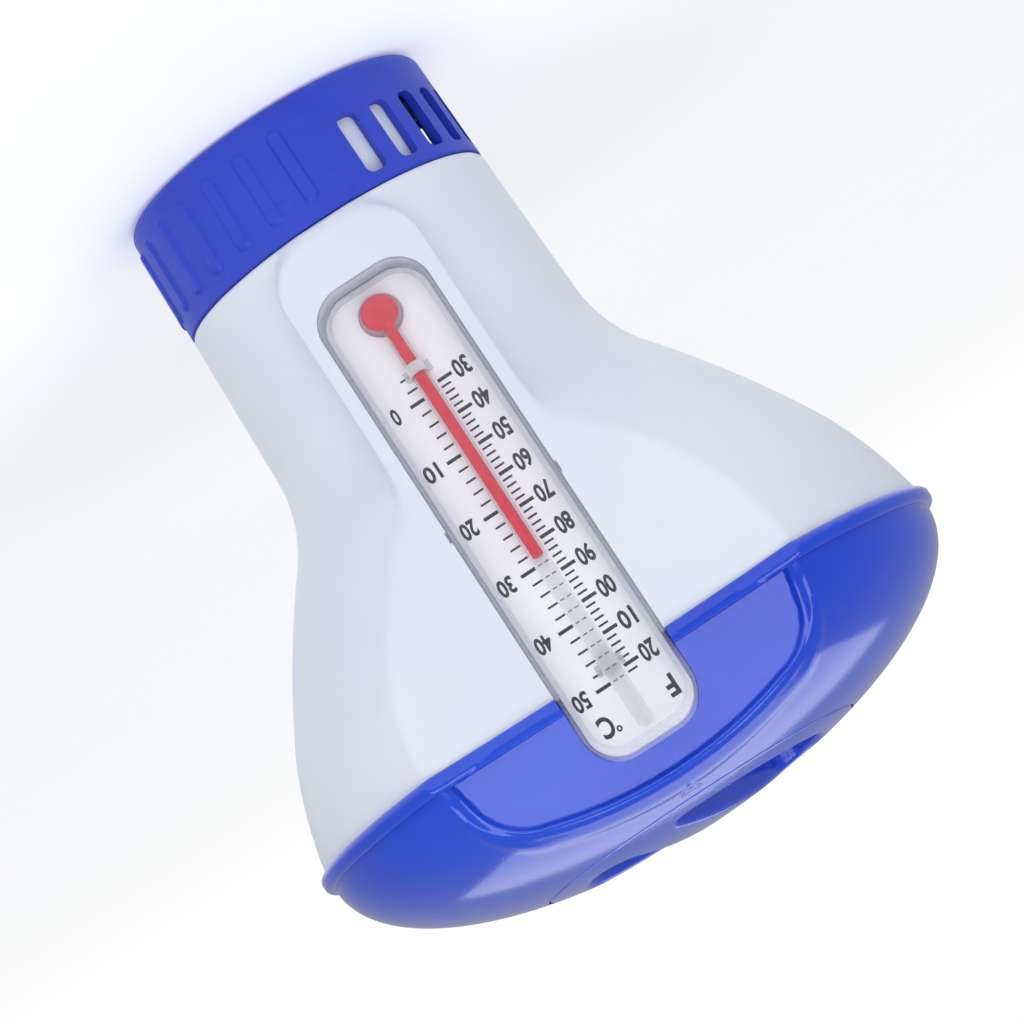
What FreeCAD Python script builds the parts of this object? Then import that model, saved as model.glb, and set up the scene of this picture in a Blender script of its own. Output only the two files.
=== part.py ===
import FreeCAD, Part
import os
import re
import Sketcher
from FreeCAD import Placement, Rotation, Vector

# A floating pool feeder with a thermometer in its side: a white flared float, a blue dome with a
# twist-off lid, an inner tablet tube and a slotted ring that turns on the float's spigot.
# Millimetres. +Z points up as the object floats. The origin is the centre of the ring's flat end.
# The thermometer faces -Y. It leans outwards as it rises, and its pieces are drawn in their own
# flat frame: X across, Y up along the scale from the bulb end, Z out of the front face.

os.makedirs("parts", exist_ok=True)
doc = FreeCAD.newDocument("PoolFloat")

SIZES = {
    # dose ring
    "ringHeight": (32.4, "height of the dose ring"),
    "ringDraft": (0.8, "how much narrower the ring is at its flat end"),
    "ringWall": (2.2, "side wall of the ring"),
    "ringEndWall": (2.4, "end wall of the ring"),
    "ringEdge": (3.4, "rounding of the flat end's edge"),
    "stepCount": (24, "slots and ribs together"),
    "slotPitch": (13.85, "angle from one slot or rib to the next"),
    "slotWidth": (6.0, "width of a slot"),
    "slotFoot": (12.2, "lower end of a slot"),
    "slotMargin": (3.4, "upper end of a slot below the ring's open edge"),
    "firstSlot": (26.7, "angle of the first slot from the front"),
    "ribWidth": (3.9, "width of a grip rib"),
    "ribRise": (0.5, "height of a grip rib over the ring"),
    "ribFoot": (6.6, "lower end of a grip rib"),
    "ribMargin": (4.8, "upper end of a grip rib below the ring's open edge"),
    "firstRib": (2.4, "angle of the first rib from the front"),
    "lipWidth": (0.9, "how far the retaining lip reaches"),
    "turnGap": (0.35, "running gap between pieces that turn"),
    "faceGap": (0.3, "gap between end faces that turn on each other"),
    # white float
    "tabletRadius": (38.0, "radius of the tablets that the feeder takes"),
    "tabletGap": (0.7, "room around a tablet"),
    "neckSpace": (6.0, "from the tablet tube's bore to the outside of the neck"),
    "neckDraft": (1.32, "how much wider the neck is at its head"),
    "neckDrop": (93.4, "head of the neck, where the flare begins, below the rim"),
    "bendRadius": (40.0, "hollow bend between neck and flare"),
    "bendReach": (7.78, "how far the hollow bend reaches out"),
    "bendDrop": (70.9, "end of the hollow bend below the rim"),
    "flareBow": (276.0, "bow radius of the flare"),
    "shoulderInset": (9.0, "how much narrower the float is at its shoulder than at its rim"),
    "shoulderDrop": (28.4, "shoulder below the rim"),
    "shoulderBow": (115.0, "bow radius between shoulder and rim"),
    "flareReach": (45.6, "how far the rim stands out from the neck"),
    "headRise": (21.32, "how far the thermometer reaches above the rim"),
    "shellWall": (2.2, "wall of the float"),
    "spigotWall": (1.8, "wall of the spigot"),
    "spigotFoot": (5.6, "lower end of the spigot"),
    "windowFoot": (11.0, "lower edge of the spigot's windows"),
    "windowMargin": (2.2, "upper edge of the windows below the ring's open edge"),
    "windowStart": (52.0, "angle from the front where the windows begin"),
    "windowSpan": (172.0, "angle that the windows cover"),
    "windowBar": (5.0, "width of the bars between windows"),
    # thermometer and its bed
    "tilt": (9.1, "outward lean of the thermometer"),
    "padClear": (1.7, "foot of the pad above the float's lower edge"),
    "caseLength": (141.3, "length of the case"),
    "caseWidth": (31.6, "width of the case"),
    "caseDepth": (7.0, "depth of the case"),
    "caseCorner": (10.0, "corner radius of the case"),
    "caseEdge": (1.6, "rounding of the case's front edges"),
    "coverWall": (1.1, "wall of the clear cover"),
    "plateWall": (0.75, "thickness of the back plate"),
    "cardWall": (0.3, "thickness of the scale card"),
    "lugLength": (3.0, "length of a side lug"),
    "lugRise": (0.5, "how far a side lug stands out"),
    "lugDepth": (3.2, "back of a side lug behind the case's front face"),
    "fitGap": (0.15, "gap between pieces that are fitted together"),
    "pocketWall": (1.2, "wall behind the thermometer's pocket"),
    "tubeSpace": (0.38, "gap between that wall and the tablet tube"),
    "padWidth": (41.0, "width of the flat pad on the neck"),
    "padFoot": (16.0, "how far the pad reaches below the case"),
    "padCorner": (15.0, "corner radius of the pad's foot"),
    "padSink": (0.4, "pad surface behind the case's front face"),
    "padEdge": (3.0, "rounding of the pad's edges"),
    "scoopRadius": (200.0, "radius of the hollow scooped out of the flare"),
    "scoopSink": (0.8, "bottom of the scoop behind the case's front face"),
    "tubeRadius": (2.2, "outer radius of the glass tube"),
    "tubeGap": (0.03, "gap between the glass tube and the card or a clip"),
    "tubeMargin": (5.8, "upper end of the tube below the head of the case"),
    "bulbRadius": (5.5, "radius of the bulb, seen from the front"),
    "bulbGap": (0.12, "gap between the bulb and the cover"),
    "bulbPlace": (10.45, "bulb centre from the bulb end of the case"),
    "glassWall": (0.4, "wall of the bulb"),
    "spiritHead": (85.9, "top of the spirit from the bulb end of the case"),
    "clipHeight": (3.0, "height of a tube clip"),
    "clipWall": (0.25, "thickness of a tube clip"),
    "clipWidth": (7.6, "width of a tube clip over its feet"),
    "lowerClip": (26.8, "lower clip from the bulb end of the case"),
    "upperClipInset": (24.3, "upper clip below the head of the case"),
    # dome
    "beadHeight": (4.6, "height of the rim bead"),
    "domeRise": (37.3, "height of the dome's curve"),
    "domeWall": (2.4, "wall of the dome"),
    "beadRise": (2.2, "how far the rim bead stands out"),
    "beadEdge": (1.6, "rounding of the rim bead"),
    "recessProud": (0.4, "middle of the recess floor in front of the case's front plane, at the dome's foot"),
    "recessLean": (18.9, "backward lean of the recess floor"),
    "recessRadius": (431.0, "hollow curve of the recess floor"),
    "recessHalfWidth": (51.8, "half width of the recess at its foot"),
    "recessSideRise": (10.0, "height of the recess's sides"),
    "recessTaper": (2.2, "how much narrower the recess is where its sides end"),
    "recessBrowRise": (23.3, "height where the recess's corners end, over the dome's foot"),
    "recessBrowInset": (17.3, "how much narrower the recess's top curve is than its foot"),
    "recessCorner": (19.0, "corner radius of the recess"),
    "recessTop": (120.0, "radius of the recess's top curve"),
    # lid and its seat
    "lugReach": (1.7, "how far the lid's rim and lugs stand out from its skirt"),
    "lidGap": (0.4, "gap around the lid's edge"),
    "lidWall": (2.0, "walls of the lid"),
    "seatDrop": (8.9, "seat of the lid's seal below the top"),
    "sealWall": (1.5, "thickness of the lid's seal"),
    "upstandWall": (3.5, "wall between the mouth and the channel for the skirt"),
    "skirtWall": (1.7, "wall of the lid's skirt"),
    "skirtClear": (0.5, "lower end of the skirt above its channel's floor"),
    "channelDepth": (4.5, "depth of the channel that takes the skirt"),
    "lugCount": (4, "locking lugs on the lid"),
    "lugAngle": (22.0, "angle that one locking lug covers"),
    "lidLugHeight": (1.9, "height of a lug on the lid"),
    "lugClear": (0.5, "gap between the lugs when the lid is locked"),
    "collarLugHeight": (1.6, "height of a lug in the collar"),
    "wellWall": (2.4, "wall around the finger wells"),
    "wellDepth": (22.3, "depth of the finger wells below the top"),
    "wellCorner": (5.0, "corner radius of the finger wells"),
    "gripWidth": (17.0, "width of the grip bar"),
    "gripTurn": (31.0, "angle of the grip bar from the front"),
    "plugGap": (0.8, "gap between the lid's hanging plug and the mouth"),
    # tablet tube
    "tubeWall": (1.4, "wall of the tablet tube"),
    "sealGap": (0.05, "gap above and below the foot seal"),
    "shelfRise": (3.7, "shelf that carries the tube, above the float's lower edge"),
    "shelfWall": (2.4, "thickness of the shelf"),
    "collarWall": (2.5, "thickness of the collar under the channel"),
    "collarSkirt": (6.0, "length of the collar's sleeve around the tube"),
    "sealSection": (1.25, "section radius of the round foot seal"),
}

# Sizes that follow from the driving ones, so that pieces that meet stay together.
FOLLOWING = {
    "boreOfTube": "tabletRadius + tabletGap",
    "neckRadius": "boreOfTube + neckSpace",
    "rimRadius": "neckRadius + flareReach",
    "neckHeadRadius": "neckRadius + neckDraft",
    "flareFootRadius": "neckHeadRadius + bendReach",
    "shoulderRadius": "rimRadius - shoulderInset",
    "ringRadius": "neckRadius",
    "ringEndRadius": "ringRadius - ringDraft",
    "slotHead": "ringHeight - slotMargin",
    "ribHead": "ringHeight - ribMargin",
    "windowHead": "ringHeight - windowMargin",
    "spigotRadius": "ringRadius - ringWall - turnGap - lipWidth",
    "shelfHeight": "ringHeight + faceGap + shelfRise",
    "tubeFootHeight": "shelfHeight + 2 * (sealSection + sealGap)",
    "caseReach": "boreOfTube + tubeWall + tubeSpace + pocketWall + fitGap + caseDepth",
    "caseFoot": "ringHeight + faceGap + padClear + padFoot * cos(tilt)",
    "rimHeight": "caseFoot + caseLength * cos(tilt) - headRise",
    "neckHead": "rimHeight - neckDrop",
    "flareFoot": "rimHeight - bendDrop",
    "shoulder": "rimHeight - shoulderDrop",
    "tubeHead": "caseLength - tubeMargin",
    "upperClip": "caseLength - upperClipInset",
    "boreRadius": "tubeRadius - glassWall",
    "tubeSink": "caseDepth - plateWall - cardWall - tubeRadius - tubeGap",
    "bulbHalfDepth": "tubeSink - coverWall - bulbGap",
    "domeFoot": "rimHeight + beadHeight",
    "domeTop": "domeFoot + domeRise",
    "recessReach": "caseReach + (domeFoot - caseFoot) * tan(tilt) + recessProud",
    "recessSide": "domeFoot + recessSideRise",
    "recessSideHalf": "recessHalfWidth - recessTaper",
    "recessBrow": "domeFoot + recessBrowRise",
    "recessBrowHalf": "recessHalfWidth - recessBrowInset",
    "seatHeight": "domeTop - seatDrop",
    "channelFoot": "seatHeight - channelDepth",
    "collarFoot": "channelFoot - collarWall",
    "skirtFoot": "channelFoot + skirtClear",
    "collarLugFoot": "skirtFoot + lidLugHeight + lugClear",
    "skirtRadius": "boreOfTube + upstandWall + lidGap + skirtWall",
    "lidRadius": "skirtRadius + lugReach",
    "plugRadius": "boreOfTube - plugGap",
    "wellRadius": "plugRadius - wellWall",
    "wellFoot": "domeTop - wellDepth",
}

sheet = doc.addObject("Spreadsheet::Sheet", "Sizes")
for row, (alias, (amount, note)) in enumerate(SIZES.items(), 1):
    sheet.set(f"A{row}", note)
    sheet.set(f"B{row}", str(amount))
    sheet.setAlias(f"B{row}", alias)
doc.recompute()


def link(text):
    """The same expression in terms of the sheet's own cells."""
    def spelt(word):
        name = word.group()
        if name in FOLLOWING:
            return f"({link(FOLLOWING[name])})"
        return f"Sizes.{name}" if name in SIZES else name
    return re.sub(r"[A-Za-z]+", spelt, str(text))


def value(text):
    return float(sheet.evalExpression(link(text)))


def bind(thing, **links):
    """Set properties now, and bind them to the sheet."""
    for name, text in links.items():
        path = name.replace("_", ".")
        if "_" not in name:
            setattr(thing, name, value(text))
        thing.setExpression(path, link(text))


def place(thing, x="0", y="0", z="0", turn="0", about=Vector(0, 0, 1)):
    """Put a piece at a point given by expressions, turned about one axis."""
    thing.Placement = Placement(Vector(value(x), value(y), value(z)), Rotation(about, value(turn) or 1))
    bind(thing, Placement_Base_x=x, Placement_Base_y=y, Placement_Base_z=z, Placement_Rotation_Angle=turn)
    return thing


def lean(thing, x="0", along="0", out="0"):
    """Put a piece that was drawn flat in the thermometer's frame."""
    y = f"-caseReach - ({along}) * sin(tilt) - ({out}) * cos(tilt)"
    z = f"caseFoot + ({along}) * cos(tilt) - ({out}) * sin(tilt)"
    return place(thing, x, y, z, "90 + tilt", Vector(1, 0, 0))


def newBody(name):
    return doc.addObject("PartDesign::Body", name)


def sketchOn(body, role):
    plane = [item for item in body.Origin.OriginFeatures if item.Role == role][0]
    sketch = body.newObject("Sketcher::SketchObject", body.Name + "Outline")
    sketch.AttachmentSupport = [(plane, "")]
    sketch.MapMode = "FlatFace"
    return sketch


def pin(sketch, edge, end, x, y):
    """Tie one end of an edge to a point given by two expressions."""
    for kind, text, axis in (("DistanceX", x, -2), ("DistanceY", y, -1)):
        if text == "0":
            sketch.addConstraint(Sketcher.Constraint("PointOnObject", edge, end, axis))
        else:
            index = sketch.addConstraint(Sketcher.Constraint(kind, -1, 1, edge, end, value(text)))
            sketch.setExpression(f"Constraints[{index}]", link(text))


def outline(body, role, corners):
    """A closed outline. A corner is (x, y), or (x, y, radius) where an arc leaves it; a positive
    radius turns left and a negative one turns right."""
    sketch = sketchOn(body, role)
    points = [Vector(value(corner[0]), value(corner[1]), 0) for corner in corners]
    ends = []
    for number, corner in enumerate(corners):
        here = points[number]
        there = points[(number + 1) % len(points)]
        if len(corner) == 2:
            edge = sketch.addGeometry(Part.LineSegment(here, there))
            ends.append((edge, 1, 2))
            continue
        radius = value(corner[2])
        chord = there - here
        side = Vector(-chord.y, chord.x, 0).normalize() * (1 if radius > 0 else -1)
        middle = (here + there) * 0.5 + side * (radius ** 2 - chord.Length ** 2 / 4) ** 0.5
        circle = Part.Circle(middle, Vector(0, 0, 1), abs(radius))
        first, last = (here, there) if radius > 0 else (there, here)
        arc = Part.ArcOfCircle(circle, circle.parameter(first), circle.parameter(last))
        edge = sketch.addGeometry(arc)
        ends.append((edge, 1, 2) if radius > 0 else (edge, 2, 1))
        index = sketch.addConstraint(Sketcher.Constraint("Radius", edge, abs(radius)))
        sketch.setExpression(f"Constraints[{index}]", link(corner[2].lstrip("-")))
    for number, corner in enumerate(corners):
        edge, start, _ = ends[number]
        before, _, end = ends[number - 1]
        sketch.addConstraint(Sketcher.Constraint("Coincident", before, end, edge, start))
        pin(sketch, edge, start, corner[0], corner[1])
    return sketch


def turned(name, corners, angle="360"):
    """A solid of revolution about Z. Its outline's x is the radius and its y the height."""
    body = newBody(name)
    sketch = outline(body, "XZ_Plane", corners)
    spin = body.newObject("PartDesign::Revolution", name + "Spin")
    spin.Profile = sketch
    spin.ReferenceAxis = (sketch, ["V_Axis"])
    bind(spin, Angle=angle)
    return body


def raised(name, role, corners, length, backwards=False):
    """A straight extrusion of an outline."""
    body = newBody(name)
    pad = body.newObject("PartDesign::Pad", name + "Pad")
    pad.Profile = outline(body, role, corners)
    pad.Reversed = backwards
    bind(pad, Length=length)
    body.Tip = pad
    return body


def rounded(half, foot, head, low, high):
    """Corners of an upright outline with round corners, walked to the left."""
    return [(f"-({half}) + ({low})", foot), (f"({half}) - ({low})", foot, low),
            (half, f"({foot}) + ({low})"), (half, f"({head}) - ({high})", high),
            (f"({half}) - ({high})", head), (f"-({half}) + ({high})", head, high),
            (f"-({half})", f"({head}) - ({high})"), (f"-({half})", f"({foot}) + ({low})", low)]


def box(name, across, along, up):
    thing = doc.addObject("Part::Box", name)
    bind(thing, Length=across, Width=along, Height=up)
    return thing


def rod(name, radius, height, angle="360"):
    thing = doc.addObject("Part::Cylinder", name)
    bind(thing, Radius=radius, Height=height, Angle=angle)
    return thing


def cut(name, base, tool):
    thing = doc.addObject("Part::Cut", name)
    thing.Base = base
    thing.Tool = tool
    return thing


def fuse(name, *shapes):
    thing = doc.addObject("Part::MultiFuse", name)
    thing.Shapes = list(shapes)
    return thing


def common(name, *shapes):
    thing = doc.addObject("Part::MultiCommon", name)
    thing.Shapes = list(shapes)
    return thing


def softened(name, base, radius, sink):
    """Round the edges of a leaning piece's front plane, which lies sink behind the case's front."""
    doc.recompute()
    level = value(f"-caseReach * cos(tilt) + caseFoot * sin(tilt) + ({sink})")
    front = []
    for number, edge in enumerate(base.Shape.Edges, 1):
        spots = [spot.y * value("cos(tilt)") + spot.z * value("sin(tilt)") for spot in edge.discretize(5)]
        if max(abs(spot - level) for spot in spots) < 0.01:
            front.append((number, value(radius), value(radius)))
    thing = doc.addObject("Part::Fillet", name)
    thing.Base = base
    thing.Edges = front
    return thing


# ---- tools that several pieces share ----

def scoop(name, deeper):
    """The long cylinder that hollows the front of the flare, set deeper by an amount."""
    axis = f"(scoopRadius - scoopSink - ({deeper}))"
    thing = rod(name, "scoopRadius", "3 * caseLength")
    y = f"-caseReach + caseLength * sin(tilt) - {axis} * cos(tilt)"
    z = f"caseFoot - caseLength * cos(tilt) - {axis} * sin(tilt)"
    return place(thing, "0", y, z, "tilt", Vector(1, 0, 0))


def caseBlock(name, grow, deeper, out="0", head="caseLength"):
    """A block with the case's outline, larger all round by grow and deeper by deeper."""
    half = f"caseWidth / 2 + {grow}"
    corner = f"caseCorner + {grow}"
    corners = rounded(half, f"-({grow})", f"{head} + {grow}", corner, corner)
    body = raised(name, "XY_Plane", corners, f"caseDepth + {deeper} + ({out})", backwards=True)
    return lean(body, out=out)


def lugBlock(name, grow, out):
    """A block across the case at half its length, as wide as the two side lugs, larger by grow."""
    thing = box(name, f"caseWidth + 2 * (lugRise + {grow})", f"lugLength + 2 * {grow}",
                f"lugDepth + {grow} + ({out})")
    return lean(thing, x=f"-caseWidth / 2 - lugRise - {grow}",
                along=f"(caseLength - lugLength) / 2 - {grow}", out=f"-lugDepth - {grow}")


# ---- white float ----

def bodyShell():
    outer = turned("floatOuter", [
        ("0", "ringHeight + faceGap"),
        ("neckRadius", "ringHeight + faceGap"),
        ("neckHeadRadius", "neckHead", "-bendRadius"),
        ("flareFootRadius", "flareFoot", "flareBow"),
        ("shoulderRadius", "shoulder", "shoulderBow"),
        ("rimRadius", "rimHeight"),
        ("0", "rimHeight")])
    scooped = cut("floatScooped", outer, scoop("floatScoop", "0"))
    corners = rounded("padWidth / 2", "-padFoot", "caseLength / 3", "padCorner", "padEdge")
    pad = raised("padBlock", "XY_Plane", corners, "caseDepth + padEdge", backwards=True)
    lean(pad, out="-padSink")
    solid = fuse("floatSolid", scooped, softened("padSoft", pad, "padEdge", "padSink"))
    pocket = fuse("floatPocket", caseBlock("floatPocketBlock", "fitGap", "fitGap", out="20"),
                  lugBlock("floatPocketNotch", "fitGap", "20"))
    pocketed = cut("floatPocketed", solid, pocket)
    inner = turned("floatInner", [
        ("0", "shelfHeight"),
        ("neckRadius - shellWall", "shelfHeight"),
        ("neckHeadRadius - shellWall", "neckHead", "-(bendRadius + shellWall)"),
        ("flareFootRadius - shellWall * 1.2", "flareFoot + shellWall * 0.5", "flareBow - shellWall"),
        ("shoulderRadius - shellWall * 1.1", "shoulder", "shoulderBow - shellWall"),
        ("rimRadius - shellWall", "rimHeight"),
        ("rimRadius - shellWall", "rimHeight + 1"),
        ("0", "rimHeight + 1")])
    innerScooped = cut("floatInnerScooped", inner, scoop("floatInnerScoop", "shellWall"))
    guard = caseBlock("floatGuard", "fitGap + pocketWall", "fitGap + pocketWall", out="20",
                      head="caseLength * 2")
    hollow = cut("floatHollow", innerScooped, guard)
    shell = cut("floatShell", pocketed, hollow)
    opened = cut("floatOpened", shell, rod("floatMouth", "boreOfTube", "shelfHeight + 1"))
    spigot = turned("floatSpigot", [
        ("spigotRadius - spigotWall", "spigotFoot"),
        ("spigotRadius + lipWidth", "spigotFoot"),
        ("spigotRadius + lipWidth", "spigotFoot + 2"),
        ("spigotRadius", "spigotFoot + 2 + lipWidth"),
        ("spigotRadius", "ringHeight + faceGap + 1"),
        ("spigotRadius - spigotWall", "ringHeight + faceGap + 1")])
    window = rod("spigotWindow", "neckRadius + 5", "windowHead - windowFoot", "windowSpan")
    place(window, z="windowFoot", turn="-90 - windowStart - windowSpan")
    bars = [bar(number) for number in (1, 2)]
    cage = cut("spigotCut", spigot, cut("spigotWindows", window, fuse("spigotBars", *bars)))
    return fuse("body_shell", opened, cage)


def bar(number):
    """An upright bar that divides the spigot's windows in three."""
    thing = box(f"spigotBar{number}", "neckRadius + 6", "windowBar", "ringHeight")
    turn = f"-90 - windowStart - windowSpan * {number} / 3"
    place(thing, f"windowBar / 2 * sin({turn})", f"-windowBar / 2 * cos({turn})", "0", turn)
    return thing


# ---- dome ----

def domeSolid(name, less, foot):
    """The dome's full curve, smaller by less, down to a height."""
    egg = doc.addObject("Part::Ellipsoid", name + "Egg")
    bind(egg, Radius1=f"domeRise - {less}", Radius2=f"rimRadius - {less}", Radius3=f"rimRadius - {less}")
    egg.Angle1 = 0
    place(egg, z="domeFoot")
    band = rod(name + "Band", f"rimRadius - {less}", f"domeFoot - ({foot}) + 0.01")
    place(band, z=foot)
    return fuse(name, egg, band)


def recessTool(name, grow):
    """The space in front of the leaning, hollow floor of the dome's recess, larger by grow."""
    half = f"recessHalfWidth + {grow}"
    sideHalf = f"recessSideHalf + {grow}"
    browHalf = f"recessBrowHalf + {grow} / 2"
    arch = raised(name + "Arch", "XZ_Plane", [
        (f"-({half})", "domeFoot"), (half, "domeFoot"),
        (sideHalf, "recessSide", f"recessCorner + {grow}"),
        (browHalf, f"recessBrow + {grow}", f"recessTop + {grow}"),
        (f"-({browHalf})", f"recessBrow + {grow}", f"recessCorner + {grow}"),
        (f"-({sideHalf})", "recessSide")], "rimRadius + 20")
    roller = rod(name + "Roller", f"recessRadius + {grow}", "rimRadius * 3")
    y = "-recessReach - recessRadius * cos(recessLean) - rimRadius * 1.5 * sin(recessLean)"
    z = "domeFoot + recessRadius * sin(recessLean) - rimRadius * 1.5 * cos(recessLean)"
    place(roller, "0", y, z, "-recessLean", Vector(1, 0, 0))
    return common(name, arch, roller)


def topDome():
    bead = turned("domeBead", [
        ("rimRadius - domeWall - 2", "rimHeight"),
        ("rimRadius + beadRise - beadEdge", "rimHeight", "beadEdge"),
        ("rimRadius + beadRise", "rimHeight + beadEdge"),
        ("rimRadius + beadRise", "domeFoot - beadEdge", "beadEdge"),
        ("rimRadius + beadRise - beadEdge", "domeFoot"),
        ("rimRadius - domeWall - 2", "domeFoot + 1")])
    outer = fuse("domeOuter", domeSolid("domeCurve", "0", "rimHeight"), bead)
    scooped = cut("domeScooped", outer, scoop("domeScoop", "-beadRise"))
    recessed = cut("domeRecessed", scooped, recessTool("domeRecess", "0"))
    pocketed = cut("domePocketed", recessed, caseBlock("domePocket", "fitGap", "fitGap", out="20"))
    inner = domeSolid("domeInner", "domeWall", "rimHeight - 1")
    innerScooped = cut("domeInnerScooped", inner, scoop("domeInnerScoop", "domeWall - beadRise"))
    grown = recessTool("domeInnerRecess", "domeWall")
    guard = caseBlock("domeGuard", "fitGap + domeWall", "fitGap + domeWall", out="20", head="caseLength")
    collar = rod("domeCollar", "lidRadius + lidGap + domeWall", "domeRise")
    place(collar, z="collarFoot")
    sleeve = rod("domeSleeve", "boreOfTube + tubeWall + fitGap + domeWall", "domeRise")
    place(sleeve, z="collarFoot - collarSkirt")
    hollow = innerScooped
    for number, kept in enumerate((collar, sleeve, grown, guard), 1):
        hollow = cut(f"domeHollow{number}", hollow, kept)
    shell = cut("domeShell", pocketed, hollow)
    seatOuter = "lidRadius + lidGap"
    upstand = "skirtRadius - skirtWall - lidGap"
    seat = turned("domeSeat", [
        ("0", "seatHeight"),
        (upstand, "seatHeight"),
        (upstand, "channelFoot"),
        (seatOuter, "channelFoot"),
        (seatOuter, "domeTop + 1"),
        ("0", "domeTop + 1")])
    mouth = rod("domeMouth", "boreOfTube", "domeRise * 2")
    place(mouth, z="domeFoot")
    nest = rod("domeNest", "boreOfTube + tubeWall + fitGap", "collarFoot - domeFoot")
    place(nest, z="domeFoot")
    opened = cut("domeOpened", shell, fuse("domeHoles", seat, mouth, nest))
    ring = turned("domeLugRing", [
        ("skirtRadius + lidGap", "collarLugFoot"),
        (f"{seatOuter} + 0.5", "collarLugFoot"),
        (f"{seatOuter} + 0.5", "collarLugFoot + collarLugHeight"),
        ("skirtRadius + lidGap", "collarLugFoot + collarLugHeight")])
    lugs = common("domeLugs", ring, wedges("domeWedges", "-gripTurn"))
    return fuse("top_dome", opened, lugs)


def wedges(name, turn):
    """Sectors that pick the lugs out of a ring, turned from the lid's own lug places."""
    count = int(value("lugCount"))
    sectors = []
    for number in range(count):
        sector = rod(f"{name}{number}", "rimRadius", "domeTop", "lugAngle")
        place(sector, turn=f"-90 + gripTurn + ({turn}) - lugAngle / 2 + {number} * 360 / lugCount")
        sectors.append(sector)
    return fuse(name, *sectors)


# ---- lid ----

def well(name, side):
    """One finger well: a half disc beside the grip bar, with slanted corners."""
    near = "gripWidth / 2"
    reach = f"(sqrt(wellRadius ^ 2 - ({near}) ^ 2) - wellCorner)"
    far = f"sqrt(wellRadius ^ 2 - ({near} + wellCorner) ^ 2)"
    body = raised(name, "XY_Plane", [
        (near, f"-{reach}"),
        (f"{near} + wellCorner", f"-{far}", "wellRadius"),
        (f"{near} + wellCorner", far),
        (near, reach)], "domeRise")
    return place(body, z="wellFoot", turn=f"gripTurn + {side}")


def lid():
    crown = common("lidCrown", domeSolid("lidCurve", "0", "rimHeight"), turned("lidDisc", [
        ("0", "seatHeight + sealWall + faceGap"),
        ("lidRadius", "seatHeight + sealWall + faceGap"),
        ("lidRadius", "domeTop + 1"),
        ("0", "domeTop + 1")]))
    plug = rod("lidPlug", "plugRadius", "seatHeight + sealWall + 1 - wellFoot + lidWall")
    place(plug, z="wellFoot - lidWall")
    skirt = turned("lidSkirt", [
        ("skirtRadius - skirtWall", "skirtFoot"),
        ("skirtRadius", "skirtFoot"),
        ("skirtRadius", "seatHeight + sealWall + 1"),
        ("skirtRadius - skirtWall", "seatHeight + sealWall + 1")])
    ring = turned("lidLugRing", [
        ("skirtRadius - 0.5", "skirtFoot"),
        ("lidRadius", "skirtFoot"),
        ("lidRadius", "skirtFoot + lidLugHeight"),
        ("skirtRadius - 0.5", "skirtFoot + lidLugHeight")])
    lugs = common("lidLugs", ring, wedges("lidWedges", "0"))
    whole = fuse("lidWhole", crown, plug, skirt, lugs)
    return cut("lid", whole, fuse("lidWells", well("lidWellRight", "0"), well("lidWellLeft", "180")))


def lidSeal():
    outer = "skirtRadius - skirtWall - lidGap"
    return turned("lid_seal", [
        ("boreOfTube", "seatHeight"),
        (outer, "seatHeight"),
        (outer, "seatHeight + sealWall"),
        ("boreOfTube", "seatHeight + sealWall")])


# ---- tablet tube and its seal ----

def tabletTube():
    outer = "boreOfTube + tubeWall"
    flange = "neckRadius - shellWall - fitGap"
    return turned("tablet_tube", [
        ("boreOfTube", "tubeFootHeight"),
        (flange, "tubeFootHeight"),
        (flange, "tubeFootHeight + shelfWall"),
        (outer, "tubeFootHeight + shelfWall + 1"),
        (outer, "collarFoot"),
        ("boreOfTube", "collarFoot")])


def footSeal():
    ring = doc.addObject("Part::Torus", "foot_seal")
    bind(ring, Radius1="boreOfTube + 0.2 + sealSection", Radius2="sealSection")
    return place(ring, z="(shelfHeight + tubeFootHeight) / 2")


# ---- dose ring ----

def doseRing():
    cup = turned("ringCup", [
        ("0", "0"),
        ("ringEndRadius - ringEdge", "0", "ringEdge"),
        ("ringEndRadius", "ringEdge"),
        ("ringRadius", "ringHeight"),
        ("ringRadius - ringWall", "ringHeight"),
        ("ringRadius - ringWall - lipWidth", "ringHeight - 0.6"),
        ("ringRadius - ringWall - lipWidth", "spigotFoot + 3.6 + lipWidth"),
        ("ringRadius - ringWall", "spigotFoot + 3.1"),
        ("ringRadius - ringWall", "ringEndWall"),
        ("0", "ringEndWall")])
    half = int(value("stepCount")) // 2
    slots = [ringBlock(f"slot{n}", "slotWidth", "slotFoot", "slotHead", "ringWall + 3 * lipWidth",
                       "ringRadius - ringWall - 2 * lipWidth", f"-90 - firstSlot - {n} * slotPitch")
             for n in range(half)]
    ribs = [ringBlock(f"rib{n}", "ribWidth", "ribFoot", "ribHead", "ringWall / 2",
                      "(ringRadius + ringEndRadius) / 2 + ribRise - ringWall / 2",
                      f"-90 - firstRib + {n} * slotPitch")
            for n in range(half)]
    return fuse("dose_ring", cut("ringSlotted", cup, fuse("ringSlots", *slots)), *ribs)


def ringBlock(name, width, foot, head, deep, start, turn):
    """An upright block with round ends, standing at a radius and turned to its place on the ring."""
    end = f"({width}) / 2 * 0.999"
    block = raised(name, "YZ_Plane", rounded(f"({width}) / 2", foot, head, end, end), deep)
    return place(block, f"({start}) * cos({turn})", f"({start}) * sin({turn})", "0", turn)


# ---- thermometer ----

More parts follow.
